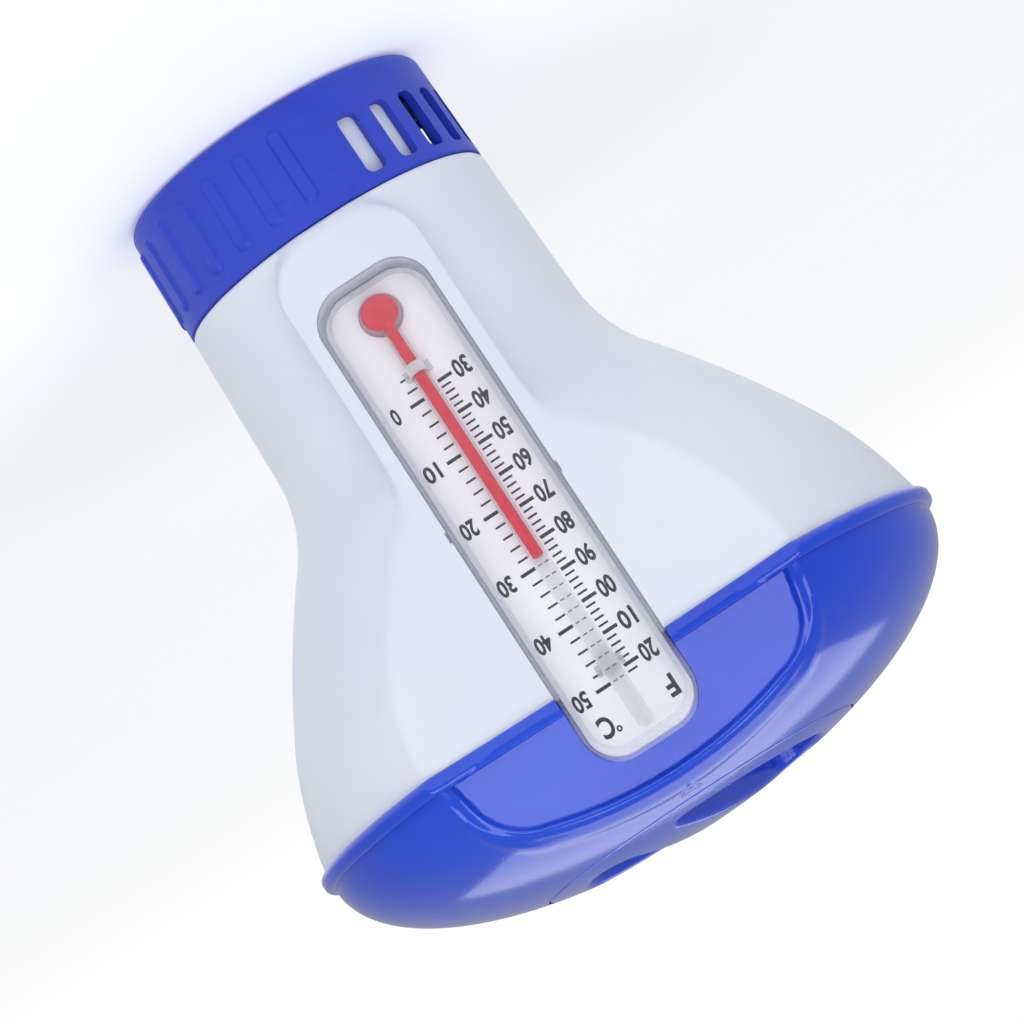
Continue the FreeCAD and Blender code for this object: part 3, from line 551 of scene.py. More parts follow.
def fanBlock(name, lowAngle, highAngle, foot, head, near, far, corner):
    # a curved block between two angles, with round corners, wider than the wall that it cuts
    middle = (lowAngle + highAngle) / 2
    scale = math.pi / 180 * spigotSize["outer"]
    half = (highAngle - lowAngle) / 2 * scale
    loop = flatLoop(half, foot, head, corner, 0.0, 5)
    dense = []
    for n, (x, y) in enumerate(loop):
        nextX, nextY = loop[(n + 1) % len(loop)]
        pieces = max(1, round(math.hypot(nextX - x, nextY - y) / 2.0))
        dense += [(x + (nextX - x) * k / pieces, y + (nextY - y) * k / pieces)
                  for k in range(pieces)]

    def toWorld(across, up, out):
        a = math.radians(middle + across / scale)
        return (out * math.sin(a), -out * math.cos(a), up)
    count = len(dense)
    points = [toWorld(x, y, z) for z in (near, far) for x, y in dense]
    faces = [[n, (n + 1) % count, (n + 1) % count + count, n + count] for n in range(count)]
    # caps follow the curve: each is a fan of quads between equal places on the two long sides
    for base, flip in ((0, True), (count, False)):
        caps = capStrips(dense, base)
        faces += [list(reversed(cap)) for cap in caps] if flip else caps
    return newPiece(name, points, faces)


def capStrips(loop, base):
    # strips across a loop that is symmetric about its middle height
    count = len(loop)
    right = max(range(count), key=lambda n: (loop[n][0], -loop[n][1]))
    up, down = right, right
    strips = []
    while True:
        nextUp, nextDown = (up + 1) % count, (down - 1) % count
        if nextUp == nextDown or nextUp == down:
            if nextUp == nextDown and up != down:
                strips.append([base + down, base + up, base + nextUp])
            break
        if up == down:
            strips.append([base + nextDown, base + up, base + nextUp])
        else:
            strips.append([base + nextDown, base + down, base + up, base + nextUp])
        up, down = nextUp, nextDown
        if (up + 1) % count == down:
            break
    return strips


makeFloat()
print("white float made")
makeSpigot()
print("spigot made")


ringSize = {"height": 32.4, "radius": 44.7, "endRadius": 43.9, "edge": 3.4, "wall": 2.2,
            "endWall": 2.4, "lip": 0.9, "count": 12, "pitch": 13.85, "slotHalf": 3.0,
            "slotFoot": 12.2, "slotHead": 29.0, "slotCorner": 1.9, "firstSlot": -26.7,
            "ribHalf": 1.95, "ribFoot": 6.6, "ribHead": 27.6, "ribRise": 0.8, "firstRib": -2.4,
            "slotEdge": 0.8, "panelRise": 0.35, "panelFoot": 23.5, "panelFrom": -15.0,
            "panelTo": 41.0, "panelCorner": 2.0, "panelOuter": 0.35, "panelInner": 0.25,
            "ribOuter": 0.30, "ribInner": 0.45, "slotRound": 0.55, "fullRound": 0.98,
            "bandFoot": 10.1, "bandSlope": 8.7, "cutEachWay": 3, "angleStep": 0.4}


def ringRelief(radius, height, angle):
    # ribs, a low panel and softly rounded slot edges on the ring's outside
    s = ringSize
    degrees = np.degrees(angle)
    relief = 0.0 * radius
    for number in range(s["count"]):
        rib = (degrees - (s["firstRib"] + number * s["pitch"]) + 180) % 360 - 180
        across = np.radians(rib) * s["radius"]
        away = roundedBox(across, height, s["ribHalf"], s["ribFoot"], s["ribHead"],
                          s["ribHalf"] * s["fullRound"])
        relief = np.maximum(relief, s["ribRise"] * smoothStep(s["ribOuter"], -s["ribInner"], away))
        slot = (degrees - (s["firstSlot"] - number * s["pitch"]) + 180) % 360 - 180
        across = np.radians(slot) * s["radius"]
        away = roundedBox(across, height, s["slotHalf"], s["slotFoot"], s["slotHead"], s["slotCorner"])
        dip = np.clip(1 - away / s["slotEdge"], 0, 1)
        relief = relief - s["slotEdge"] * s["slotRound"] * dip * dip * (away < s["slotEdge"])
    panel = np.minimum(degrees - s["panelFrom"], s["panelTo"] - degrees) * math.radians(1) * s["radius"]
    away = softMax(-panel, s["panelFoot"] - height, s["panelCorner"])
    relief = relief + s["panelRise"] * smoothStep(s["panelOuter"], -s["panelInner"], away)
    return relief


def makeRing():
    s = ringSize
    angles = anglesAround([(-180, 180, s["angleStep"])])
    outside = curveThrough([
        ((0.0, 0.0), None, 12),
        ((s["endRadius"] - s["edge"], 0.0), s["edge"], 10),
        ((s["endRadius"], s["edge"]), None, 62),
        ((s["radius"] - 0.05, s["height"] - 0.5), 0.5, 4),
        ((s["radius"] - 0.55, s["height"]), None, 2)])
    inside = curveThrough([
        ((s["radius"] - s["wall"], s["height"]), None, 2),
        ((s["radius"] - s["wall"] - s["lip"], s["height"] - 0.6), None, 2),
        ((s["radius"] - s["wall"] - s["lip"], s["bandFoot"]), None, 2),
        ((s["radius"] - s["wall"], s["bandSlope"]), None, 6),
        ((s["radius"] - s["wall"], s["endWall"]), None, 8),
        ((0.0, s["endWall"]), None, 1)])
    angle = angles[:, None]
    radius, height = outside[:, 0][None, :] + 0 * angle, outside[:, 1][None, :] + 0 * angle
    carved = smoothStep(2.0, 4.0, height) * (height < s["height"] - 0.2)
    radius = radius + ringRelief(radius, height, angle) * carved
    grid = np.concatenate([polar(radius, height, angle),
                           polar(inside[:, 0][None, :] + 0 * angle, inside[:, 1][None, :] + 0 * angle,
                                 angle)],
                          axis=1)
    piece = cappedSkin("slottedRing", grid, creaseAngle)
    tools = [curvedBlock("slotTool", s["slotHalf"], s["slotFoot"], s["slotHead"], s["slotCorner"],
                         s["radius"] - s["wall"] - s["cutEachWay"], s["radius"] + s["cutEachWay"],
                         s["firstSlot"] - number * s["pitch"])
             for number in range(s["count"])]
    carve(piece, joined("slotTools", tools), creaseAngle)
    return finished(piece, "dose_ring", "blue_ring", ringPlastic, "dose_ring")


makeRing()
print("dose ring made")


domeSize = {"rimFoot": 168.4, "foot": 173.0, "radius": 90.3, "rise": 37.3, "wall": 2.4,
            "bead": 2.2, "beadEdge": 1.8, "beadEnd": 15.98, "floorReach": 68.9,
            "floorSlope": 0.343, "floorBow": 431.0, "archHalf": 51.8, "archSide": 183.0,
            "archSideHalf": 49.6, "archBrow": 196.3, "archBrowHalf": 34.5, "archCorner": 19.0,
            "archTop": 120.0, "wallWidth": 2.6, "grooveWidth": 1.7, "minimumDepth": 0.9,
            "ridge": 0.42, "ridgeAway": 0.8, "ridgeWidth": 1.0, "lidHole": 46.4,
            "collarFoot": 196.9, "upstand": 42.2, "seat": 201.4, "mouth": 38.7, "nest": 40.25,
            "nestHead": 194.4, "sleeveFoot": 188.4, "sleeve": 42.65, "mark": 4.2, "markRise": 0.35,
            "markPlace": 52.5, "frontTurn": 46, "innerTurn": 52, "openFoot": 12, "sideShare": 0.55,
            "grooveShare": 0.45, "lip": 0.8, "collarTop": 202.0, "guardHead": 192, "guardFrom": 6,
            "guardTo": 2, "footWall": 2.6}


def archOutline():
    # the recess's outline seen from the front, as points (across, height)
    s = domeSize
    half = curveThrough([
        ((s["archHalf"], s["foot"] - s["openFoot"]), None, 6),
        ((s["archHalf"], s["foot"]), None, 6),
        ((s["archSideHalf"], s["archSide"]), s["archCorner"], 16),
        ((s["archBrowHalf"], s["archBrow"]), s["archTop"], 24),
        ((-s["archBrowHalf"], s["archBrow"]), None, 1)])[:-1]
    left = half[:30][::-1] * np.array([-1.0, 1.0])
    return np.concatenate([half, left])


def distanceToLoop(across, height, loop):
    # signed distance to an open-footed outline, negative inside
    ends = np.roll(loop, -1, axis=0)[:-1]
    starts = loop[:-1]
    nearest = np.full(across.shape, 1e9)
    for (x0, y0), (x1, y1) in zip(starts, ends):
        dx, dy = x1 - x0, y1 - y0
        length = dx * dx + dy * dy
        if length < 1e-9:
            continue
        t = np.clip(((across - x0) * dx + (height - y0) * dy) / length, 0, 1)
        nearest = np.minimum(nearest, np.hypot(across - x0 - t * dx, height - y0 - t * dy))
    inside = np.zeros(across.shape, bool)
    closed = np.concatenate([loop, loop[:1]])
    for (x0, y0), (x1, y1) in zip(closed[:-1], closed[1:]):
        crosses = ((y0 > height) != (y1 > height))
        with np.errstate(divide="ignore", invalid="ignore"):
            at = (x1 - x0) * (height - y0) / (y1 - y0 + 1e-12) + x0
        inside ^= crosses & (across < at)
    return np.where(inside, -nearest, nearest)


def makeDome():
    s = domeSize
    angles = anglesAround([(-180, -48, 1.2), (-48, 48, 0.32), (48, 180, 1.2)])
    angle = angles[:, None]
    # from the rim's underside over the bead to the dome's foot
    beadOut = s["radius"] + s["bead"]
    bead = curveThrough([
        ((s["radius"] - 1.2, s["rimFoot"]), None, 2),
        ((beadOut - s["beadEdge"], s["rimFoot"]), s["beadEdge"], 7),
        ((beadOut, s["rimFoot"] + s["beadEdge"]), None, 3),
        ((beadOut, s["foot"] - s["beadEdge"]), s["beadEdge"], 7),
        ((beadOut - s["beadEdge"], s["foot"]), None, 3),
        ((s["radius"] + 0.15, s["foot"] + 0.02), None, 1)])
    scoop = hollowReach(frontPlane(bead[:, 1][None, :], floatSize["scoopSink"]), angle,
                        floatSize["scoopRadius"])
    offset = bead[:, 0][None, :] - s["radius"]
    beadRadius = softMin(s["radius"] + 0 * angle, scoop, 1.0) + offset
    beadHeight = bead[:, 1][None, :] + 0 * angle
    # the curve above it, to the edge of the lid's seat
    edge = math.sqrt(1 - (s["lidHole"] / s["radius"]) ** 2)
    turns = np.linspace(0.004, math.asin(edge), 170)[None, :]
    radius = s["radius"] * np.cos(turns) + 0 * angle
    height = s["foot"] + s["rise"] * np.sin(turns) + 0 * angle
    across, depth = radius * np.sin(angle), radius * np.cos(angle)
    away = distanceToLoop(across, height, archOutline())
    floor = s["floorReach"] - s["floorSlope"] * (height - s["foot"]) + across ** 2 / (2 * s["floorBow"])
    floor = np.minimum(floor, depth - s["minimumDepth"])
    side = smoothStep(0.0, -s["wallWidth"], away)
    groove = smoothStep(-s["wallWidth"], -s["wallWidth"] - s["grooveWidth"], away)
    sunk = s["sideShare"] * side + s["grooveShare"] * groove
    front = (np.abs(angle) < math.radians(s["frontTurn"])) & (depth > 0)
    depth = np.where(front, depth - sunk * (depth - floor), depth)
    swell = s["ridge"] * np.exp(-((away - s["ridgeAway"]) / s["ridgeWidth"]) ** 2) * front
    depth = depth + swell * 0.3
    height = height + swell
    # a small pointer for the locked lid
    pointer = s["mark"] / 2 - np.abs(across) - (np.hypot(across, depth) - s["markPlace"]) * 0.5
    pointer = np.minimum(pointer, np.hypot(across, depth) - s["markPlace"] + s["mark"] / 2)
    height = height + s["markRise"] * smoothStep(-0.15, 0.35, pointer) * front
    curve = np.stack([across, -depth, height], axis=-1)
    # the bead's top ends on the curve's foot
    ledge = np.hypot(across[:, :1], depth[:, :1]) + 0.02 * np.arange(bead.shape[0])[::-1][None, :]
    beadRadius = np.where(bead[:, 1][None, :] > s["foot"] - s["beadEdge"] + 0.1,
                          np.maximum(beadRadius, ledge), beadRadius)
    # the round hole for the lid, its channel, the seal's seat, the sleeve and the inner skin
    last = height[:, -1:]
    inside = curveThrough([
        ((s["lidHole"], s["collarFoot"]), None, 1),
        ((s["upstand"], s["collarFoot"]), None, 2),
        ((s["upstand"], s["seat"]), None, 2),
        ((s["mouth"], s["seat"]), None, 3),
        ((s["mouth"], s["nestHead"]), None, 1),
        ((s["nest"], s["nestHead"]), None, 2),
        ((s["nest"], s["sleeveFoot"]), None, 1),
        ((s["sleeve"], s["sleeveFoot"]), None, 2),
        ((s["sleeve"], s["nestHead"]), None, 2),
        ((s["lidHole"] + s["wall"], s["nestHead"]), None, 2),
        ((s["lidHole"] + s["wall"], s["collarTop"]), None, 1)])
    rows = [polar(beadRadius, beadHeight, angle), curve,
            polar(s["lidHole"] - 0.05 + 0 * angle, last - s["lip"], angle),
            polar(inside[:, 0][None, :] + 0 * angle, inside[:, 1][None, :] + 0 * angle, angle)]
    back = np.linspace(math.asin(edge) - 0.09, 0.0, 40)[None, :]
    innerRadius = (s["radius"] - s["wall"]) * np.cos(back) + 0 * angle
    innerHeight = s["foot"] + (s["rise"] - s["wall"]) * np.sin(back) + 0 * angle
    innerAcross, innerDepth = innerRadius * np.sin(angle), innerRadius * np.cos(angle)
    innerFloor = s["floorReach"] - s["floorSlope"] * (innerHeight - s["foot"])
    innerFloor = innerFloor + innerAcross ** 2 / (2 * s["floorBow"]) - s["wall"]
    guard = frontPlane(innerHeight, caseSize["depth"] + caseSize["play"] + s["wall"])
    near = smoothStep(caseSize["half"] + s["guardFrom"], caseSize["half"] + s["guardTo"],
                      np.abs(innerAcross))
    near = near * (innerHeight < s["guardHead"])
    keepDepth = np.minimum(innerFloor,
                           np.where(near > 0, innerFloor + near * (guard - innerFloor), innerFloor))
    innerDepth = np.where((np.abs(angle) < math.radians(s["innerTurn"])) & (innerDepth > 0),
                          np.minimum(innerDepth, keepDepth),
                          innerDepth)
    rows.append(np.stack([innerAcross, -innerDepth, innerHeight], axis=-1))
    footReach = softMin(s["radius"] + 0 * angle, scoop[:, :1], 1.0) - s["footWall"]
    rows.append(polar(np.minimum(footReach, np.hypot(innerAcross[:, -1:], innerDepth[:, -1:]) + 0.5),
                      s["rimFoot"] + 0 * angle, angle))
    piece = wrappedSkin("blueDome", np.concatenate(rows, axis=1), creaseAngle)
    carve(piece, caseTool(caseSize["play"], caseSize["play"], cutReach), creaseAngle)
    carve(piece, notchTool(), creaseAngle)
    return finished(piece, "float", "blue_dome", domePlastic, "top_dome")


def notchTool():
    # trims the rim bead beside the case, with round ends
    s = domeSize
    loop = flatLoop(s["beadEnd"], s["rimFoot"] - 6, s["foot"] - 0.02, 0.5, 0.0, 3)
    near = frontPlane(s["rimFoot"], 7.3)
    return stackedLoops("notchTool", [[(x, z, y) for x, z in loop] for y in (near, near + 30)],
                        lambda across, up, out: (across, -out, up))


makeDome()
print("dome made")


lidSize = {"radius": 46.0, "edge": 0.6, "under": 203.2, "plug": 37.9, "plugFoot": 186.0,
           "skirt": 44.3, "skirtWall": 1.7, "skirtFoot": 197.4, "lugHeight": 1.9, "lugHalf": 11.0,
           "turn": 31.0, "well": 35.5, "wellFoot": 188.0, "wellCorner": 5.0, "barHalf": 8.5,
           "draft": 0.7, "lip": 2.2, "fillet": 4.0, "edgeRound": 1.2, "flare": 0.8,
           "cutHead": 216.0, "lugSpacing": 90}


def crownHeight(radius):
    return domeSize["foot"] + domeSize["rise"] * np.sqrt(1 - (radius / domeSize["radius"]) ** 2)


def wellLoop(grow, count):
    # a half disc beside the grip bar, grown all round, as (across the bar, along the bar)
    s = lidSize
    big, small = s["well"] + grow, s["wellCorner"] + grow
    cx = s["barHalf"] + s["wellCorner"]
    cy = math.sqrt((s["well"] - s["wellCorner"]) ** 2 - cx ** 2)
    meet = math.atan2(cy, cx)
    points = [(big * math.cos(a), big * math.sin(a)) for a in np.linspace(-meet, meet, count)]
    points += [(cx + small * math.cos(a), cy + small * math.sin(a))
               for a in np.linspace(meet, math.pi, 14)[1:]]
    points += [(cx - small, cy - 2 * cy * n / 24) for n in range(1, 24)]
    points += [(cx + small * math.cos(a), -cy + small * math.sin(a))
               for a in np.linspace(math.pi, 2 * math.pi - meet, 14)[:-1]]
    return np.array(points)


def wellTool(side):
    s = lidSize
    loops = []
    for n in range(6):
        # the floor's round corner
        a = math.radians(90 * n / 5)
        loop = wellLoop(-s["draft"] - s["fillet"] * (1 - math.sin(a)), 60)
        loops.append((loop, s["wellFoot"] + s["fillet"] * (1 - math.cos(a)) + 0 * loop[:, 0]))
    for n in range(1, 9):
        # the rounded lip, which follows the crown
        a = math.radians(90 * n / 8)
        loop = wellLoop(s["lip"] * (1 - math.cos(a)), 60)
        loops.append((loop, crownHeight(np.hypot(*loop.T)) - s["lip"] * (1 - math.sin(a)) + 0.01 * n))
    loop = wellLoop(s["lip"] + s["flare"], 60)
    loops.append((loop, crownHeight(np.hypot(*loop.T)) + 0.35))
    loops.append((loop, 0 * loop[:, 0] + s["cutHead"]))
    turn = math.radians(s["turn"] + side)
    spots = [[(x, y, z) for (x, y), z in zip(loop.tolist(), heights.tolist())] for loop, heights in loops]
    return stackedLoops("wellTool", spots, lambda x, y, z: (
        x * math.cos(turn) - y * math.sin(turn), x * math.sin(turn) + y * math.cos(turn), z))


def makeLid():
    s = lidSize
    angles = anglesAround([(-180, 180, 1.0)])
    angle = angles[:, None]
    crown = [(r, float(crownHeight(r))) for r in np.linspace(s["radius"] - s["edge"], 0.0, 46)]
    edgeHeight = float(crownHeight(s["radius"]))
    section = curveThrough([
        ((0.0, s["plugFoot"]), None, 8),
        ((s["plug"] - s["edgeRound"], s["plugFoot"]), s["edgeRound"], 4),
        ((s["plug"], s["plugFoot"] + s["edgeRound"]), None, 6),
        ((s["plug"], s["under"]), None, 2),
        ((s["skirt"] - s["skirtWall"], s["under"]), None, 2),
        ((s["skirt"] - s["skirtWall"], s["skirtFoot"]), None, 2),
        ((s["skirt"], s["skirtFoot"]), None, 2),
        ((s["skirt"], s["skirtFoot"] + s["lugHeight"]), None, 1),
        ((s["skirt"], s["skirtFoot"] + s["lugHeight"] + 0.05), None, 3),
        ((s["skirt"], s["under"]), None, 1),
        ((s["radius"], s["under"]), None, 2),
        ((s["radius"], edgeHeight - s["edge"]), s["edge"] * 1.2, 4),
        (crown[0], None, 1)])[:-1]
    section = np.concatenate([section, np.array(crown)])
    radius = section[:, 0][None, :] + 0 * angle
    height = section[:, 1][None, :] + 0 * angle
    turn = (np.degrees(angle) - s["turn"] + s["lugSpacing"] / 2) % s["lugSpacing"] - s["lugSpacing"] / 2
    lug = (np.abs(turn) <= s["lugHalf"]) & (height < s["skirtFoot"] + s["lugHeight"] + 0.02)
    lug &= np.abs(radius - s["skirt"]) < 0.01
    radius = np.where(lug, s["radius"], radius)
    piece = cappedSkin("twistLid", polar(radius, height, angle), creaseAngle)
    for side in (0, 180):
        carve(piece, wellTool(side), 32)
    return finished(piece, "lid", "blue_lid", lidPlastic, "lid")


makeLid()
print("lid made")


def clearCover():
    # the case's front: a clear window inside a thicker moulded rim
    s = caseSize
    rim, edge, wall = s["rim"], s["edge"], s["wall"]

    def loop(grow, out):
        return [(x, y, out) for x, y in flatLoop(s["half"], 0, s["length"], s["corner"], grow, 12)]
    loops = [loop(-rim, 0.0), loop(-rim + 0.25, -0.16), loop(-rim + 0.7, -0.16), loop(-rim + 0.95, 0.0)]
    loops += [loop(-edge * (1 - math.sin(a)), -edge * (1 - math.cos(a)))
              for a in np.radians(np.linspace(0, 90, 7))]
    loops += [loop(0, -s["depth"]), loop(-wall, -s["depth"]), loop(-wall, -s["card"] + 0.03),
              loop(-rim, -s["card"] + 0.03), loop(-rim, -wall)]
    piece = stackedLoops("clearCover", loops, leaning, creaseAngle)
    faceOutwards(piece)
    finished(piece, "float", "clear_cover", coverPlastic, "thermometer_cover")
    piece.data.materials.append(rimPlastic)
    for face in piece.data.polygons:
        face.material_index = 1 if len(face.vertices) == 4 else 0
    return piece


def coverLugs():
    s = caseSize
    middle, half = s["length"] / 2, s["lugLength"] / 2
    blocks = []
    for side in (-1, 1):
        low, high = sorted((side * (s["half"] - 0.3), side * (s["half"] + s["lugRise"])))
        loop = [(high, middle - half), (high, middle + half), (low, middle + half), (low, middle - half)]
        blocks.append(stackedLoops("lug",
                                   [[(x, y, z) for x, y in loop] for z in (-s["lugDepth"], -s["edge"])],
                                   leaning))
    piece = faceOutwards(joined("coverLugs", blocks))
    return finished(piece, "float", "clear_cover", coverPlastic, "thermometer_cover")


tubeSize = {"sink": 3.72, "bulbAt": 10.45, "bulb": 4.95, "bulbDepth": 1.95, "column": 1.5,
            "head": 85.9, "glassBulb": 5.5, "glassDepth": 2.5, "glass": 2.2, "glassHead": 137.0,
            "flare": 1.6}


def bulbSkin(name, bulb, bulbDepth, stem, head, tip):
    # a flattened bulb with a round stem that flares out of it and ends in a tip
    s = tubeSize
    ups = np.concatenate([s["bulbAt"] - bulb * np.cos(np.linspace(0, math.pi * 0.62, 40)),
                          np.linspace(s["bulbAt"] + bulb * 0.42, s["bulbAt"] + 12, 40)[1:],
                          np.linspace(s["bulbAt"] + 12, head, 60)[1:],
                          head + tip * np.sin(np.linspace(0, math.pi / 2, 7))[1:]])
    ball = np.sqrt(np.clip(bulb ** 2 - (ups - s["bulbAt"]) ** 2, 0, None))
    radius = np.where(ups > s["bulbAt"], softMax(ball, stem + 0 * ups, s["flare"]), ball)
    radius[-6:] = stem * np.cos(np.linspace(0, math.pi / 2, 7))[1:]
    flat = bulbDepth / bulb
    depth = flat + (1 - flat) * smoothStep(s["bulbAt"] + 2.0, s["bulbAt"] + 6.5, ups)
    deep = np.minimum(radius * depth, bulbDepth)
    turns = np.radians(np.arange(0, 360, 9))[:, None]
    across, out = radius[None, :] * np.sin(turns), deep[None, :] * np.cos(turns) - s["sink"]
    return faceOutwards(cappedSkin(name, np.stack(leaning(across, ups[None, :] + 0 * turns, out), axis=-1),
                                   60))


def redSpirit():
    s = tubeSize
    piece = bulbSkin("redSpirit", s["bulb"], s["bulbDepth"], s["column"], s["head"], 0.5)
    return finished(piece, "float", "red_spirit", spiritRed, "spirit")


def clearTube():
    s = tubeSize
    piece = bulbSkin("clearTube", s["glassBulb"], s["glassDepth"], s["glass"], s["glassHead"] - s["glass"],
                     s["glass"])
    return finished(piece, "float", "tube_glass", tubeGlass, "glass_tube")


printSize = {"zeroAt": 35.2, "perDegree": 1.748, "rightInner": 2.35, "rightMinor": 5.2,
             "rightMajor": 6.5, "leftInner": -2.8, "leftMinor": -5.5, "leftMajor": -6.9,
             "minorThick": 0.55, "majorThick": 0.95, "rightDigit": 4.8, "leftDigit": 5.2,
             "digitWidth": 1.95, "rise": 0.03, "ladderThick": 0.4, "ladderNear": 0.35,
             "ladderFar": 1.55, "digitGap": 0.4, "aloneLeft": 9.9, "rightLeft": 8.7,
             "leftRight": -7.7, "letterFoot": 128.3, "letterHeight": 5.9, "freezing": 32}


def inkBox(left, right, up, thick):
    low, high = up - thick / 2, up + thick / 2
    base = -caseSize["card"]
    spots = [(x, y, z) for z in (base, base + printSize["rise"]) for x, y in
             ((left, low), (right, low), (right, high), (left, high))]
    return [leaning(*spot) for spot in spots]


def inkMarks(name, bars, material):
    # many thin printed bars as one piece
    points, faces = [], []
    for bar in bars:
        base = len(points)
        points += inkBox(*bar)
        faces += [[base + n for n in corner] for corner in (
            (3, 2, 1, 0), (4, 5, 6, 7), (0, 1, 5, 4), (1, 2, 6, 5), (2, 3, 7, 6), (3, 0, 4, 7))]
    piece = faceOutwards(newPiece(name, points, faces))
    return finished(piece, "float", "printed_card", material)


def printedText(text, left, low, width, height, weight=0.03):
    # letters squeezed to a width and height, standing on the card
    curve = bpy.data.curves.new("letters", "FONT")
    curve.body, curve.offset, curve.extrude, curve.resolution_u = text, weight, 0.01, 4
    letters = bpy.data.objects.new("letters", curve)
    bpy.context.scene.collection.objects.link(letters)
    depsgraph = bpy.context.evaluated_depsgraph_get()
    mesh = bpy.data.meshes.new_from_object(letters.evaluated_get(depsgraph))
    spots = np.array([v.co for v in mesh.vertices])
    faces = [list(face.vertices) for face in mesh.polygons]
    bpy.data.objects.remove(letters)
    bpy.data.curves.remove(curve)
    bpy.data.meshes.remove(mesh)
    lows, highs = spots.min(0), spots.max(0)
    across = left + (spots[:, 0] - lows[0]) / (highs[0] - lows[0]) * width
    up = low + (spots[:, 1] - lows[1]) / (highs[1] - lows[1]) * height
    out = -caseSize["card"] + (spots[:, 2] - lows[2]) / (highs[2] - lows[2]) * printSize["rise"]
    return np.stack(leaning(across, up, out), axis=-1), faces


def printedNumbers():
    s = printSize
    texts = []
    for degree in range(0, 51, 10):
        up = s["zeroAt"] + s["perDegree"] * degree
        width = s["digitWidth"] if degree == 0 else 2 * s["digitWidth"] + s["digitGap"]
        left = s["aloneLeft"] if degree == 0 else s["rightLeft"]
        texts.append((str(degree), left, up - s["rightDigit"] / 2, width, s["rightDigit"]))
    for degree in range(30, 121, 10):
        up = s["zeroAt"] + s["perDegree"] * (degree - s["freezing"]) / 1.8
        width = 2 * s["digitWidth"] + s["digitGap"]
        # the case hides the hundreds
        texts.append((f"{degree % 100:02d}", s["leftRight"] - width, up - s["leftDigit"] / 2, width,
                      s["leftDigit"]))
    texts += [("F", -11.2, s["letterFoot"], 2.8, s["letterHeight"]),
              ("C", 7.2, s["letterFoot"], 3.6, s["letterHeight"]), ("o", 5.7, 132.4, 1.5, 1.7)]
    points, faces = [], []
    for text in texts:
        spots, shapes = printedText(*text)
        faces += [[len(points) + n for n in shape] for shape in shapes]
        points += spots.tolist()
    piece = newPiece("scaleNumbers", points, faces)
    return finished(piece, "float", "printed_card", blackInk)


def printedTicks():
    s = printSize
    bars, ladder = [], []
    for degree in range(-4, 51, 2):
        up = s["zeroAt"] + s["perDegree"] * degree
        major = degree % 10 == 0
        bars.append((s["rightInner"], s["rightMajor"] if major else s["rightMinor"], up,
                     s["majorThick"] if major else s["minorThick"]))
        ladder.append((s["ladderNear"], s["ladderFar"], up, s["ladderThick"]))
        ladder.append((-s["ladderFar"], -s["ladderNear"], up, s["ladderThick"]))
    for degree in range(30, 123, 2):
        up = s["zeroAt"] + s["perDegree"] * (degree - s["freezing"]) / 1.8
        major = degree % 10 == 0
        bars.append((s["leftMajor"] if major else s["leftMinor"], s["leftInner"], up,
                     s["majorThick"] if major else s["minorThick"]))
    inkMarks("scaleTicks", bars, blackInk)
    inkMarks("scaleLadder", ladder, greyInk)


def inkFinish(name, colour, pale):
    # screen-printed ink: slightly uneven density and a dull sheen
    made = Finish(bpy.data.materials.new(name))
    spot = made.place()
    worn = made.noise(spot, 1400.0, 3.0).clip(0.35, 0.75)
    colours = made.blendColour(worn, colour, pale)
    ink = made.node("ShaderNodeBsdfPrincipled", {}, {
        "Base Color": colours, "Roughness": worn * 0.2 + 0.45,
        "Normal": made.bump(worn, 0.1, 0.0002)})
    return made.finish(ink)


def cardFinish():
    # smooth white card: faint mottling, fine fibres and a low sheen
    made = Finish(bpy.data.materials.new("printedCard"))
    spot = made.place()
    mottle = made.noise(spot, 60.0, 4.0)
    fibre = made.noise(made.stretched(spot, (1.0, 1.0, 0.25)), 1500.0, 3.0, 0.6)
    colour = made.blendColour(mottle.clip(0.3, 0.7), rgb(244, 244, 248), rgb(250, 250, 252))
    card = made.node("ShaderNodeBsdfPrincipled", {}, {
        "Base Color": colour, "Roughness": fibre * 0.15 + 0.5,
        "Normal": made.bump(fibre, 0.12, 0.0002)})
    return made.finish(card)


def spiritFinish():
    # dyed spirit behind glass: deep red with lighter streaks, wet and glossy, plus a faint painted glow
    # that makes it shine a little without any lamp
    made = Finish(bpy.data.materials.new("redSpirit"))
    spot = made.place()
    streak = made.noise(made.stretched(spot, (1.0, 1.0, 0.5)), 420.0, 3.0, 0.6)
    colour = made.blendColour(streak.clip(0.3, 0.75), rgb(206, 16, 40), rgb(226, 40, 62))
    # painted glow: a red emission that brightens the spirit beyond what the lamps give it
    paintedGlow = made.blendColour(streak.clip(0.3, 0.75), rgb(205, 26, 50), rgb(225, 46, 72))
    red = made.node("ShaderNodeBsdfPrincipled", {}, {
        "Base Color": colour, "Roughness": streak * 0.12 + 0.12, "IOR": 1.4, "Emission Color": paintedGlow,
        "Emission Strength": 0.12, "Normal": made.bump(streak, 0.25, 0.0006)})
    return made.finish(red)


rimPlastic = clearPlastic("clearRimPlastic", rimLook)
blackInk = inkFinish("blackInk", rgb(26, 27, 34), rgb(58, 60, 70))
greyInk = inkFinish("greyInk", rgb(120, 124, 132), rgb(150, 154, 160))
spiritRed = spiritFinish()
clearCover()
coverLugs()
redSpirit()
clearTube()
printedTicks()
printedNumbers()
for node, finish in (("tablet_tube", tubePlastic), ("lid_seal", sealRubber), ("foot_seal", footRubber),
                     ("thermometer_backplate", whitePlastic), ("scale_card", cardFinish()),
                     ("lower_tube_clip", clipPlastic), ("upper_tube_clip", clipPlastic)):
    nodes[node].data.materials.clear()
    nodes[node].data.materials.append(finish)
print("thermometer made")


